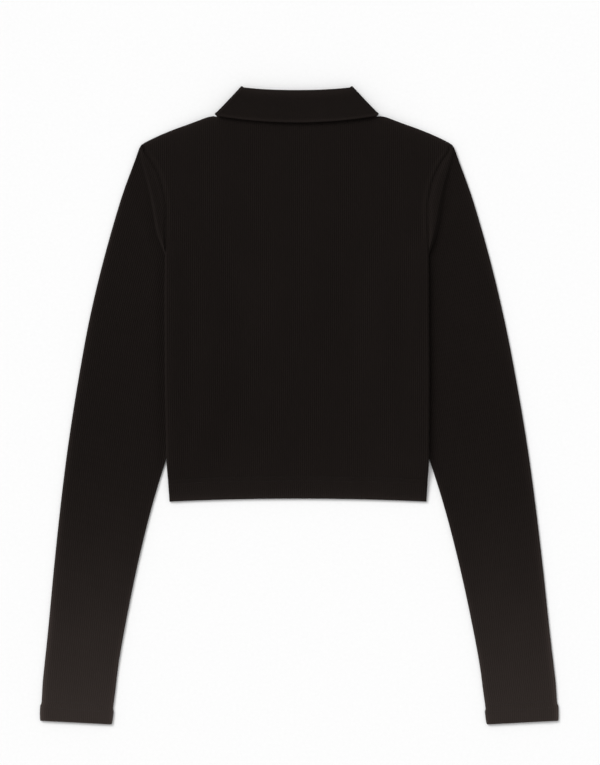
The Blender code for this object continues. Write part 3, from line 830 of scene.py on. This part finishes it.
def front_outside(key, x, y, lift, from_edge):
    from_side = FAR
    if y < UNDERARM_Y + 20.0 and abs(key) <= CHEST_HALF:
        from_side = CHEST_HALF - abs(key)
    height = 0.55 * (1.0 - rounded(min(from_edge, from_side)))
    height += stitch_groove(from_edge - HEM_STITCH_UP) if y < 0 else 0.0
    return x, y, lift + height, key, y, front_painted_light(key, y, from_edge)


def front_inside(key, x, y, lift, from_edge):
    return x, y, lift + WALL, key, y, front_painted_light(key, y, from_edge)


def dress(keys, columns, point_at):
    """The places of a body panel's columns, each made a point of its cloth."""
    return [[spot and point_at(key, *spot) for spot in column]
            for key, column in zip(keys, columns)]


def make_back(material):
    """The back, its ribs raised on the outside alone."""
    cloth = Cloth()
    low = low_rows()
    skins = []
    for per_rib, point_at in ((4, back_outside), (0.5, back_inside)):
        keys = wale_keys(per_rib)
        columns = [body_column(key, back_top_y, low, BACK_HIGH_ROWS) for key in keys]
        skins.append(cloth.rows(dress(keys, columns, point_at)))
        cloth.skin(skins[-1])
    for line_a, line_b in zip(panel_lines(skins[0]), panel_lines(skins[1])):
        cloth.zip_up(line_a, line_b)
    return cloth.finish("back_cloth", material, "rib_knit", "back")


def make_front(material):
    """The front, with the slot for the placket from its neck edge."""
    cloth = Cloth()
    half = read_straight(HALF_WIDTH, PLACKET_BOTTOM) - GAP / 2
    slot = PLACKET_HALF * CHEST_HALF / half
    keys = [key for key in wale_keys(1) if abs(abs(key) - slot) > 1.0]
    keys = sorted(keys + [-slot, slot])
    low = low_rows(with_placket=True)
    columns = [body_column(key, front_top_y, low, FRONT_HIGH_ROWS) for key in keys]
    first, last = keys.index(-slot), keys.index(slot)
    slot_row = low.index(PLACKET_BOTTOM - HEM_Y)

    def outside_slot(c, r):
        return not (first <= c < last and r >= slot_row)

    for c in range(first + 1, last):
        columns[c] = [spot if r <= slot_row else None for r, spot in enumerate(columns[c])]
    skins = [cloth.rows(dress(keys, columns, point_at))
             for point_at in (front_outside, front_inside)]
    cloth.wall(skins, outside_slot)
    return cloth.finish("front_cloth", material, "rib_knit", "front")


# ---- making the sleeves ----
def sleeve_rings():
    """Each ring's (x, y) at the knot shares, and its lift there."""
    shares = run_shares([knot[:2] for knot in ARMHOLE])
    seam = [(knot.x + SEAM_GAP[0], knot.y + SEAM_GAP[1]) for knot in ARMHOLE]
    seam[0] = SEAM_OUTER
    foot = [(x + FOLD_FOOT[0], y + FOLD_FOOT[1]) for x, y in SLEEVE_FOLD]
    foot[0] = FOOT_OUTER
    foot[-1] = FOOT_INNER
    rings = [seam, list(SLEEVE_FOLD), foot]
    for ring in SLEEVE_RINGS:
        rings.append([mix(ring[:2], ring[2:], share) for share in shares])
    rings.insert(3, [mix(a, b, BELOW_FOOT) for a, b in zip(rings[2], rings[3])])
    lifts = [[LIFT * knot.lift for knot in ARMHOLE]] * 2 + [[0.0] * len(shares)] * (len(rings) - 2)
    return rings, lifts, shares


def knot_position(shares, share):
    """The place between the knots of a share of the way across."""
    for k in range(len(shares) - 1):
        if share <= shares[k + 1]:
            return k + (share - shares[k]) / (shares[k + 1] - shares[k])
    return len(shares) - 1.0


class Guide:
    """A line down the sleeve that its knit follows."""

    def __init__(self, form, last_ring, end):
        self.rings = [ring for ring in ring_positions() if FOOT_RING <= ring <= last_ring]
        self.spots = [form.at(ring, 0.0)[:2] for ring in self.rings]
        self.spots = [WALE_GUIDE_START] + self.spots + [end]
        self.run = run_lengths(self.spots)

    def nearest(self, x, y, ring):
        """Distance to the line, and how far down it the nearest place is."""
        middle = bisect(self.rings, ring)
        best = (math.inf, 0.0)
        for k in range(max(middle - 30, 0), min(middle + 30, len(self.spots) - 1)):
            (ax, ay), (bx, by) = self.spots[k], self.spots[k + 1]
            length = self.run[k + 1] - self.run[k]
            share = ((x - ax) * (bx - ax) + (y - ay) * (by - ay)) / length ** 2
            share = min(max(share, 0.0), 1.0)
            away = math.hypot(x - ax - (bx - ax) * share, y - ay - (by - ay) * share)
            best = min(best, (away, self.run[k] + length * share))
        return best


class SleeveForm:
    """Where a point of the sleeve lies, by its ring position and its share across."""

    def __init__(self):
        self.rings, self.lifts, self.shares = sleeve_rings()
        self.last = float(len(self.rings) - 1)
        self.edge_guide = Guide(self, END_RING, WALE_GUIDE_END)
        self.course_guide = Guide(self, 11.5, COURSE_GUIDE_END)

    def cloth_coords(self, x, y, ring):
        """Wales run along the outer edge, and courses square to its long sweep."""
        return self.edge_guide.nearest(x, y, ring)[0], self.course_guide.nearest(x, y, ring)[1]

    def at(self, ring, share):
        position = knot_position(self.shares, share)
        k = min(int(ring), len(self.rings) - 2)
        lines = [bend_through(self.rings[min(max(r, 0), len(self.rings) - 1)], position)
                 for r in (k - 1, k, k + 1, k + 2)]
        if k < FOOT_RING:
            x, y = mix(lines[1], lines[2], ring - k)
        else:
            if k == FOOT_RING:
                lines[0] = [2.0 * a - b for a, b in zip(lines[1], lines[2])]
            x, y = bend_through(lines, 1.0 + ring - k)
        before = read_straight(list(enumerate(self.lifts[k])), position)
        after = read_straight(list(enumerate(self.lifts[k + 1])), position)
        return x, y, before + (after - before) * ease(ring - k)


def ring_positions():
    """Ring positions down the sleeve, close at the fold, the stitching and the cuff edge."""
    positions = [k / 6 for k in range(6)] + [1.0 + k / 10 for k in range(10)]
    positions += [2.0 + k / 5 for k in range(5)]
    for ring in range(3, 12):
        positions += [ring + k / 11 for k in range(11)]
    positions += [12.0 + k / 11 for k in range(9)]
    positions += [12.75 + 0.03 * k for k in range(18)]
    positions += [13.35, 13.5, 13.65, 13.8, 13.9]
    return positions + [14.0, 14.35, 14.65, 14.85, 14.95, 15.0]


def sleeve_creases(x, y, share):
    """Soft shallow folds: under the arm, at the elbow and by the cuff."""
    depth = 0.0
    for line_x, line_y, angle, length, width, size in SLEEVE_CREASES:
        dx, dy = x - line_x, y - line_y
        along = dx * math.cos(angle) + dy * math.sin(angle)
        beside = -dx * math.sin(angle) + dy * math.cos(angle)
        depth += size * fade(along, length) * fade(beside, width)
    return depth * min(share, 1.0 - share) * 4.0


def cuff_pinch(ring, share):
    """The sleeve is a little narrower just above its turned cuff."""
    pinch = CUFF_PINCH * ramp(ring, 12.2, 12.95) * (1.0 - ramp(ring, 12.97, 13.1))
    return pinch * (1.0 - 2.0 * share)


def rib_shares(form, ring, start, columns):
    """Shares across a ring for the columns that follow its ribs, kept inside its edges."""
    samples = []
    for k in range(49):
        share = start + (1.0 - 2.0 * start) * k / 48
        x, y, _ = form.at(ring, share)
        samples.append((form.edge_guide.nearest(x, y, ring)[0], share))
    (near, low), (away, high) = samples[0], samples[-1]
    shares = []
    for k in range(columns):
        across = k * RIB_STEP
        if across < near + RIB_SLIVER:
            shares.append(low)
        elif across > away - RIB_SLIVER:
            shares.append(high)
        else:
            shares.append(read_straight(samples, across))
    return shares


def sleeve_layout(form):
    """Places across each ring, on its upper and its under side, for both sleeves."""
    rings = ring_positions()
    widest = max(form.edge_guide.nearest(*form.at(ring, 1.0)[:2], ring)[0] for ring in rings)
    columns = int(widest / RIB_STEP) + 2
    layout = []
    for ring in rings:
        width = math.dist(form.at(ring, 0.0)[:2], form.at(ring, 1.0)[:2])
        edge = [inset / width for inset in EDGE_COLUMNS]
        above = edge + rib_shares(form, ring, RIBS_START / width, columns)
        above += [1.0 - share for share in reversed(edge)]
        below = [1.0 - k / UNDER_COLUMNS for k in range(1, UNDER_COLUMNS)]
        spots = []
        for share in above + below:
            x, y, lift = form.at(ring, share)
            inset = min(share, 1.0 - share) * width
            spots.append((share, inset, x, y, lift) + form.cloth_coords(x, y, ring))
        layout.append((ring, width, spots[:len(above)], spots[len(above):]))
    return layout


def sleeve_top(form, side, ring, spot):
    """Height and painted light of the upper side, with its cuff's end still square."""
    share, inset, x, y, _, across, _ = spot
    pressed = stitch_groove((ring - CUFF_STITCH_RING) * CUFF_DEPTH)
    edge, soft = rounded(inset, TUBE_RADIUS), rounded(inset, 6.0)
    past_fold = ramp(ring, FOOT_RING, FOOT_RING + 2.0)
    height = TUBE_RADIUS + TUBE_RADIUS * edge - pressed
    height += rib_height(across, pressed) * rounded(inset, 3.0)
    height -= EDGE_FALL * (1.0 - rounded(inset, 7.0)) * edge * past_fold
    height += PANEL_WAVE * wander(x, y, 45.0, 2.0 + side) * rounded(inset, 4.0)
    height -= SLEEVE_SINK * fade(x - CHEST_HALF - 4.0, 5.0) * ramp(ring, 3.5, 4.5) * soft
    on_fold = ramp(ring, 0.0, 0.8) * (1.0 - ramp(ring, 0.95, 1.8))
    height += FOLD_PUFF * (0.5 + share) * on_fold * soft
    if ring > 2.5:
        height += sleeve_creases(x, y, share)
    if ring > CUFF_STITCH_RING:
        height += CUFF_THICKER * rounded((ring - CUFF_STITCH_RING) * CUFF_DEPTH, 5.0)
    if ring < FOOT_RING:
        # Painted highlight on the swell beside the armhole seam.
        swell = seam_profile(math.dist((x, y), form.at(0.0, share)[:2]), y)
        return height + swell, max(swell * SWELL_HIGHLIGHT, 0.0)
    # Painted light along both folded edges, more on the outer side.
    outer_side = 1.0 - ramp(share, 0.3, 0.7)
    painted_light = (1.3 + 0.4 * outer_side) * fade(inset, 4.0) + 0.2 * outer_side * fade(inset, 10.0)
    return height, painted_light * past_fold


def tube_inside(width):
    """Shares and heights round the inside of the tube, from its outer edge and back."""
    inset = INNER_INSET / width
    shares = [inset + (1.0 - 2.0 * inset) * k / INNER_COLUMNS for k in range(INNER_COLUMNS + 1)]
    heights = [WALL + GAP / 2] + [UPPER] * (INNER_COLUMNS - 1) + [WALL + GAP / 2]
    return list(zip(shares, heights)) + [(share, WALL) for share in reversed(shares[1:-1])]


def make_sleeve(name, side, node, material, form, layout):
    """A flattened tube of rib knit, its wales along the outer edge, plain inside."""
    cloth = Cloth()
    outer_loops = []
    inner_loops = []
    for ring, width, above, below in layout:
        from_end = (form.last - ring) * END_STEP if ring > END_RING else FAR
        rounding = 1.0 - rounded(from_end)
        pressed = stitch_groove((ring - CUFF_STITCH_RING) * CUFF_DEPTH)
        loop = []
        last_share = None
        for spot in above:
            share, _, x, y, lift, across, along = spot
            # Where the sleeve is narrow, its last ribs' columns run together at the edge.
            if share == last_share:
                loop.append(loop[-1])
                continue
            last_share = share
            height, painted_light = sleeve_top(form, side, ring, spot)
            # Painted light along the cuff's rounded end too.
            loop.append(cloth.add((side * (x - cuff_pinch(ring, share)), y,
                                   lift + height - END_DROP * rounding, across, -along,
                                   max(painted_light, 1.3 * fade(from_end, 3.0)))))
        turn = len(loop) - 1
        for share, inset, x, y, lift, across, along in below:
            edge = rounded(inset, TUBE_RADIUS)
            height = TUBE_RADIUS * (1.0 - edge) + END_RISE * rounding + pressed * edge
            # Painted light along the under side's folded edges.
            loop.append(cloth.add((side * (x - cuff_pinch(ring, share)), y, lift + height,
                                   -across, -along, fade(inset, 3.2))))
        outer_loops.append(loop)
        inside = []
        for share, height in tube_inside(width):
            x, y, lift = form.at(ring, share)
            inside.append(cloth.add((side * (x - cuff_pinch(ring, share)), y, lift + height,
                                     share * 40.0, y)))
        inner_loops.append(inside)
    for loops in (outer_loops, inner_loops):
        for loop, after in zip(loops, loops[1:]):
            for k, corner in enumerate(loop):
                m = (k + 1) % len(loop)
                cloth.join((corner, loop[m], after[m], after[k]))
    for end in (0, -1):
        outer, inner = outer_loops[end], inner_loops[end]
        cloth.zip_up(sorted(set(outer[:turn + 1])), inner[:INNER_COLUMNS + 1])
        cloth.zip_up(outer[turn:] + outer[:1], inner[INNER_COLUMNS:] + inner[:1])
    return cloth.finish(name, material, "rib_knit", node)


# ---- making the collar ----
def collar_stations():
    """(seam, roll, leaf, angle) from the middle of the back round to the front."""
    stations = []
    for k in range(BACK_STEPS):
        t = k / BACK_STEPS
        stations.append(((SIDE_SEAM[0] * t, back_neck_y(SIDE_SEAM[0] * t) + GAP),
                         (SIDE_ROLL[0] * t, BACK_ROLL_Y + (SIDE_ROLL[1] - BACK_ROLL_Y) * t ** 2.2),
                         (SIDE_LEAF[0] * t, BACK_LEAF_Y + (SIDE_LEAF[1] - BACK_LEAF_Y) * t * t),
                         90.0))
    for k in range(TURN_STEPS + 1):
        stations.append((SIDE_SEAM, SIDE_ROLL, SIDE_LEAF, 90.0 - 180.0 * k / TURN_STEPS))
    for k in range(1, FRONT_STEPS + 1):
        row = bend_through(FRONT_COLLAR, (len(FRONT_COLLAR) - 1) * k / FRONT_STEPS)
        stations.append((row[0:2], row[2:4], row[4:6], -90.0))
    return stations


def collar_section(station, offset, around):
    """Stand, roll and fall of one section; the fall ends in a thicker knitted rim."""
    seam, roll, leaf, angle = station
    reach = math.dist(roll, leaf)
    stand = math.dist(roll, seam)
    way = ((roll[0] - leaf[0]) / reach, (roll[1] - leaf[1]) / reach)
    out, up = math.cos(math.radians(angle)), math.sin(math.radians(angle))
    centre = (STAND_RADIUS + FALL_RADIUS) / 2
    bend = (FALL_RADIUS - STAND_RADIUS) / 2 + offset
    section = []
    for k in range(STAND_STEPS + 1):
        share = k / STAND_STEPS
        section.append((mix(seam, roll, share), 0.0, STAND_RADIUS - offset,
                        -stand * (1.0 - share), 0.0))
    for k in range(1, ROLL_STEPS):
        turn = math.radians(-90.0 + 180.0 * k / ROLL_STEPS)
        section.append((roll, bend * math.cos(turn), centre + bend * math.sin(turn),
                        ROLL_LENGTH * k / ROLL_STEPS, 1.2 * k / (ROLL_STEPS - 1)))
    for k in range(FALL_STEPS + 1):
        # The last quarter has closer rows, for the rim.
        share = k / FALL_STEPS
        if share > 0.75:
            share = 0.75 + 0.25 * math.sin((share - 0.75) * 2.0 * math.pi)
        from_edge = reach * (1.0 - share)
        rim = 0.0
        if offset > 0:
            rim = COLLAR_RIM * fade(from_edge - 1.5, 1.1) \
                - RIM_GROOVE * fade(from_edge - 4.2, 0.8)
        shrink = offset * (0.25 + 0.75 * rounded(from_edge, 0.9))
        stand_off = COLLAR_STAND_OFF * max(up, 0.0) * share ** 2
        # Painted highlight on the knitted rim and along the top of the roll.
        painted_light = max(0.9 * fade(from_edge - 1.2, 1.8), 1.2 * fade(reach * share, 6.0))
        section.append((mix(roll, leaf, share), 0.0, FALL_RADIUS + shrink + rim + stand_off,
                        ROLL_LENGTH + reach * share, painted_light))
    return [(base[0] + way[0] * bulge + SIDE_NORMAL[0] * out * radius,
             base[1] + way[1] * bulge + SIDE_NORMAL[1] * out * radius,
             MIDDLE + up * radius, around, along, painted_light)
            for base, bulge, radius, along, painted_light in section]


def mirrored(columns):
    """The columns of the +X half, after their mirror images."""
    other = [[(-p[0], p[1], p[2], -p[3]) + p[4:] for p in column] for column in columns]
    return other[:0:-1] + columns


def make_collar(material):
    cloth = Cloth()
    stations = collar_stations()
    around = [0.0]
    for a, b in zip(stations, stations[1:]):
        around.append(around[-1] + max(math.dist(a[1], b[1]), math.dist(a[2], b[2]) * 0.8, 0.3))
    skins = []
    for offset in (WALL / 2, -WALL / 2):
        half = [collar_section(station, offset, a) for station, a in zip(stations, around)]
        skins.append(cloth.rows(mirrored(half)))
    cloth.wall(skins)
    return cloth.finish("collar_cloth", material, "collar_knit", "collar", sharp=60.0)


# ---- making the placket ----
def grid_between(low, high, step, edge=(0.0, 0.15, 0.45, 0.9)):
    """Places from low to high, closer together at both ends."""
    inner_low, inner_high = low + edge[-1] + 0.5, high - edge[-1] - 0.5
    count = max(int((inner_high - inner_low) / step), 1)
    places = [low + e for e in edge]
    places += [inner_low + (inner_high - inner_low) * k / count for k in range(count + 1)]
    return places + [high - e for e in reversed(edge)]


def make_band(name, half, y_range, z_range, node, material):
    """One folded band of the placket, soft at its edges and sunk along its stitching."""
    cloth = Cloth()
    low, high = y_range
    skins = []
    for outside in (True, False):
        grid = []
        for x in grid_between(-half, half, 1.0):
            column = []
            for y in grid_between(low, high, 3.0):
                inset = min(half - abs(x), y - low, high - y)
                soft = PLACKET_SOFT * (1.0 - rounded(inset, 0.9))
                z = z_range[1] - soft
                if outside:
                    sunk = PLACKET_SINK * fade(inset - PLACKET_STITCH_IN, 0.7)
                    z = z_range[0] + soft + sunk + PLACKET_WAVE * wander(x, y, 14.0, 4.0)
                # Painted light along the band's folded edges.
                column.append((x, y, z, x, y, fade(inset, 1.8)))
            grid.append(column)
        skins.append(cloth.rows(grid))
    cloth.wall(skins)
    return cloth.finish(name, material, "rib_knit", node)


# ---- sewing ----
def add_stitch(points, faces, stitch):
    """One stitch: a short plump thread that dips into the cloth at both ends."""
    start = len(points)
    sides = THREAD_SIDES
    for share, size in STITCH_SHAPE:
        x = stitch.x + stitch.way_x * stitch.length * share
        y = stitch.y + stitch.way_y * stitch.length * share
        for k in range(sides):
            turn = 2.0 * math.pi * k / sides
            out = stitch.radius * size * math.cos(turn)
            up = stitch.radius * size * math.sin(turn) * 0.8
            points.append(place(x - stitch.way_y * out, y + stitch.way_x * out, stitch.z + up))
    end = len(points) - sides
    for ring in range(start, end, sides):
        for k in range(sides):
            a, b = ring + k, ring + (k + 1) % sides
            faces.append((a, b, b + sides, a + sides))
    faces.append(tuple(reversed(range(start, start + sides))))
    faces.append(tuple(range(end, end + sides)))


def sew(name, stitches, material):
    points, faces = [], []
    for stitch in stitches:
        add_stitch(points, faces, stitch)
    return add_piece(name, closed_mesh(name, points, faces), material)


def hem_stitches():
    """Twin rows above the hem, on the back's outer face and on the front's."""
    count = int(2 * (CHEST_HALF - 3.0) / STITCH_STEP)
    for row in (-NEEDLE_HALF, NEEDLE_HALF):
        from_edge = HEM_STITCH_UP + row
        for k in range(count + 1):
            key = (k - count / 2) * STITCH_STEP
            x = abs(key)
            y = HEM_Y - HEM_DIP * (x / CHEST_HALF) ** 2 + from_edge
            spot = key * (read_straight(HALF_WIDTH, y) - GAP / 2) / CHEST_HALF
            lift = body_lift(x, y)
            top = lift + UPPER + back_height(RIB_PITCH / 2, spot, y, from_edge)
            dip = 1.0 - side_edge(x, y)[0]
            yield Stitch(spot, y, top + THREAD_RISE - dip, 1.0, 0.0)
            yield Stitch(spot, y, lift + 0.16 + 0.4 * dip, 1.0, 0.0)


def cuff_stitches(form, side):
    """Twin rows across both faces of a cuff."""
    for row in (-NEEDLE_HALF, NEEDLE_HALF):
        ring = CUFF_STITCH_RING + row / CUFF_DEPTH
        start, end = form.at(ring, 0.0)[:2], form.at(ring, 1.0)[:2]
        width = math.dist(start, end)
        way = (side * (end[0] - start[0]) / width, (end[1] - start[1]) / width)
        count = int((width - 5.0) / STITCH_STEP)
        for k in range(count + 1):
            share = 0.5 + (k - count / 2) * STITCH_STEP / width
            x, y, _ = form.at(ring, share)
            x = side * (x - cuff_pinch(ring, share))
            inset = min(share, 1.0 - share) * width
            top = TUBE_HEIGHT + RIB / 2 - NEEDLE_PRESS - 0.45 * (1.0 - rounded(inset, 6.0))
            yield Stitch(x, y, top + THREAD_RISE, *way)
            yield Stitch(x, y, 0.18, *way)


def placket_stitches():
    """Down both sides of the outer band and in a box at its foot."""
    half = PLACKET_OUTER_HALF - PLACKET_STITCH_IN
    low, high = PLACKET_OUTER_BOTTOM + PLACKET_STITCH_IN, PLACKET_TOP - 1.5
    z = PLACKET_OUTER_Z[0] + THREAD_RISE
    for k in range(int((high - low) / STITCH_STEP) + 1):
        for x in (-half, half):
            yield Stitch(x, low + k * STITCH_STEP, z, 0.0, 1.0, *PLACKET_THREAD)
    for k in range(1, int(2 * half / STITCH_STEP)):
        for y in (low, low + PLACKET_BOX):
            yield Stitch(-half + k * STITCH_STEP, y, z, 1.0, 0.0, *PLACKET_THREAD)


def buttonhole_stitches():
    """Close stitches down both lips of each upright buttonhole, and a bar at each end."""
    z = PLACKET_OUTER_Z[0]
    for centre in BUTTON_YS:
        for k in range(LIP_STITCHES):
            y = centre + HOLE_LENGTH * (k / (LIP_STITCHES - 1) - 0.5)
            for x in (-LIP_OUT, LIP_OUT):
                yield Stitch(x, y, z + 0.02, 1.0, 0.0, *LIP_THREAD)
        for y in (centre - BAR_AWAY, centre + BAR_AWAY):
            for bar_y in (y, y + 0.35):
                yield Stitch(0.0, bar_y, z, 1.0, 0.0, *BAR_THREAD)


def button_threads():
    """Two stitches through the holes on each button's face, and two on its back."""
    for y in BUTTON_YS:
        for x in (-HOLE_OUT, HOLE_OUT):
            for shift in (-0.17, 0.17):
                for z in BUTTON_THREAD_ZS:
                    yield Stitch(x + shift, y, z, 0.0, 1.0, *BUTTON_THREAD)


# ---- making the buttons ----
def pick(*objects):
    """Selects these objects alone, with the first one active."""
    bpy.ops.object.select_all(action="DESELECT")
    for picked in objects:
        picked.select_set(True)
    if objects:
        bpy.context.view_layer.objects.active = objects[0]


def add_round(radius, depth, spot, sides):
    """A new upright cylinder, sizes in millimetres."""
    pick()
    bpy.ops.mesh.primitive_cylinder_add(vertices=sides, radius=radius * MM, depth=depth * MM,
                                        location=spot)
    return bpy.context.active_object


def make_first_button(material):
    """A flat four-hole button, its dished face down."""
    x, y, z = place(0.0, BUTTON_YS[0], BUTTON_THICKNESS / 2)
    button = add_round(BUTTON_RADIUS, BUTTON_THICKNESS, (x, y, z), 56)
    bpy.ops.object.mode_set(mode="EDIT")
    bpy.ops.mesh.select_mode(type="FACE")
    mesh = bmesh.from_edit_mesh(button.data)
    for face in mesh.faces:
        face.select_set(face.normal.z < -0.9)
    mesh.select_flush_mode()
    bmesh.update_edit_mesh(button.data)
    bpy.ops.mesh.inset(thickness=RIM_WIDTH * MM)
    bpy.ops.mesh.inset(thickness=RIM_SLOPE * MM)
    bpy.ops.transform.translate(value=(0.0, 0.0, DISH_DEPTH * MM))
    bpy.ops.object.mode_set(mode="OBJECT")
    soften = button.modifiers.new("soft_rim", "BEVEL")
    soften.width = RIM_SOFTNESS * MM
    soften.segments = 3
    soften.angle_limit = BUTTON_SHARP
    bpy.ops.object.modifier_apply(modifier=soften.name)

    drills = []
    for dx, dy in ((-1, -1), (1, -1), (-1, 1), (1, 1)):
        spot = (x + dx * HOLE_OUT * MM, y + dy * HOLE_OUT * MM, 0.8 * MM)
        drills.append(add_round(HOLE_RADIUS, 4.0, spot, 20))
    pick(*drills)
    bpy.ops.object.join()
    drill = bpy.context.active_object
    pick(button)
    holes = button.modifiers.new("four_holes", "BOOLEAN")
    holes.operation = "DIFFERENCE"
    holes.object = drill
    bpy.ops.object.modifier_apply(modifier=holes.name)
    bpy.data.objects.remove(drill, do_unlink=True)
    bpy.ops.object.transform_apply(location=True, rotation=True, scale=True)
    bpy.ops.object.shade_smooth_by_angle(angle=BUTTON_SHARP)
    button.data.materials.clear()
    button.data.materials.append(material)
    return button


def make_buttons(material):
    """The first button is modelled, and the others are copies with their own mesh."""
    first = make_first_button(material)
    buttons = [first]
    for y in BUTTON_YS[1:]:
        copy = first.copy()
        copy.data = first.data.copy()
        start, end = place(0.0, BUTTON_YS[0], 0.0), place(0.0, y, 0.0)
        copy.data.transform(Matrix.Translation(Vector(end) - Vector(start)))
        bpy.context.scene.collection.objects.link(copy)
        buttons.append(copy)
    for number, button in enumerate(buttons, 1):
        button.name = "button_%d_resin" % number
        button.data.name = button.name
        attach(button, "root")
        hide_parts("button_%d" % number)


# ---- light, floor and camera ----
def make_camera():
    """Straight above, framed as the photo: its pixel grid is 1.1 mm on the cloth."""
    data = bpy.data.cameras.new("camera")
    data.sensor_fit = "VERTICAL"
    data.sensor_height = CAMERA_SENSOR
    data.lens = CAMERA_SENSOR * (CAMERA_HEIGHT - CLOTH_TOP) / (PHOTO_HEIGHT_PX * MM_PER_PX * MM)
    data.clip_end = 20.0
    camera = bpy.data.objects.new("camera", data)
    camera.location = ((PHOTO_WIDTH_PX / 2 - SHIRT_MIDDLE_PX[0]) * MM_PER_PX * MM,
                       (SHIRT_MIDDLE_PX[1] - PHOTO_HEIGHT_PX / 2) * MM_PER_PX * MM,
                       CAMERA_HEIGHT)
    bpy.context.scene.collection.objects.link(camera)
    bpy.context.scene.camera = camera


def hang_lamp(data, spot, target):
    """A lamp object at its spot, turned to its target."""
    lamp = bpy.data.objects.new(data.name, data)
    lamp.location = spot
    lamp.rotation_euler = (Vector(target) - Vector(spot)).to_track_quat("-Z", "Y").to_euler()
    bpy.context.scene.collection.objects.link(lamp)
    return lamp


def hang_sun(sun):
    data = bpy.data.lights.new(sun.name, "SUN")
    data.energy = sun.strength
    data.angle = math.radians(sun.softness)
    return hang_lamp(data, sun.way, (0.0, 0.0, 0.0))


def make_studio():
    """White surroundings, one broad lamp from the upper left, and a pale seamless sheet."""
    scene = bpy.context.scene
    scene.view_settings.view_transform = "Standard"
    scene.world = bpy.data.worlds.new("studio")
    scene.world.use_nodes = True
    sky = scene.world.node_tree.nodes["Background"]
    sky.inputs["Color"].default_value = WHITE
    sky.inputs["Strength"].default_value = SKY_STRENGTH
    hang_sun(KEY_LIGHT)
    pick()
    bpy.ops.mesh.primitive_plane_add(size=FLOOR_SIZE, location=(0.0, 0.0, -FLOOR_DROP))
    floor = bpy.context.active_object
    floor.name = "floor"
    floor.data.materials.append(paper_finish())


def light_the_cloth(pieces):
    """Soft lamps that light the knit and leave the paper even."""
    lit = bpy.data.collections.new("lit_by_cloth_lamps")
    for piece in pieces:
        lit.objects.link(piece)
    lamps = [hang_sun(sun) for sun in SIDE_LAMPS]
    for name, strength, x in CUFF_LAMPS:
        data = bpy.data.lights.new(name, "SPOT")
        data.energy = strength
        data.spot_size = math.radians(64.0)
        data.spot_blend = 1.0
        data.shadow_soft_size = 0.12
        lamps.append(hang_lamp(data, (x, CUFF_LAMP_Y, CUFF_LAMP_HEIGHT), (x, CUFF_LAMP_Y, 0.0)))
    for lamp in lamps:
        lamp.light_linking.receiver_collection = lit


# ---- the shirt ----
make_camera()
make_studio()

rib_knit = knit_finish("black_rib_knit", wale_width=RIB_PITCH * MM, wale_depth=0.00010,
                       stitch=0.0011)
flat_rib_knit = knit_finish("black_rib_knit_fine", wale_width=RIB_PITCH * MM,
                            wale_depth=0.00028, stitch=0.0011)
collar_knit = knit_finish("black_collar_knit", wale_width=0.0016, wale_depth=0.00016,
                          stitch=0.0009)
thread = thread_finish()

back = make_back(rib_knit)
front = make_front(flat_rib_knit)
form = SleeveForm()
layout = sleeve_layout(form)
left = make_sleeve("sleeve_left_cloth", -1, "sleeve_left", rib_knit, form, layout)
right = make_sleeve("sleeve_right_cloth", 1, "sleeve_right", rib_knit, form, layout)
collar = make_collar(collar_knit)
inner_band = make_band("placket_inner_cloth", PLACKET_HALF - GAP,
                       (PLACKET_BOTTOM + GAP, PLACKET_INNER_TOP), PLACKET_INNER_Z,
                       "placket_inner", flat_rib_knit)
outer_band = make_band("placket_outer_cloth", PLACKET_OUTER_HALF,
                       (PLACKET_OUTER_BOTTOM, PLACKET_TOP), PLACKET_OUTER_Z, "placket_outer",
                       flat_rib_knit)
hem_rows = sew("hem_stitching", hem_stitches(), thread)
left_rows = sew("cuff_left_stitching", cuff_stitches(form, -1), thread)
right_rows = sew("cuff_right_stitching", cuff_stitches(form, 1), thread)
placket_rows = sew("placket_stitching", placket_stitches(), thread)
buttonholes = sew("buttonholes", buttonhole_stitches(), thread)
make_buttons(button_finish())
sew("button_thread", button_threads(), thread)

light_the_cloth([back, front, left, right, collar, hem_rows, left_rows, right_rows])
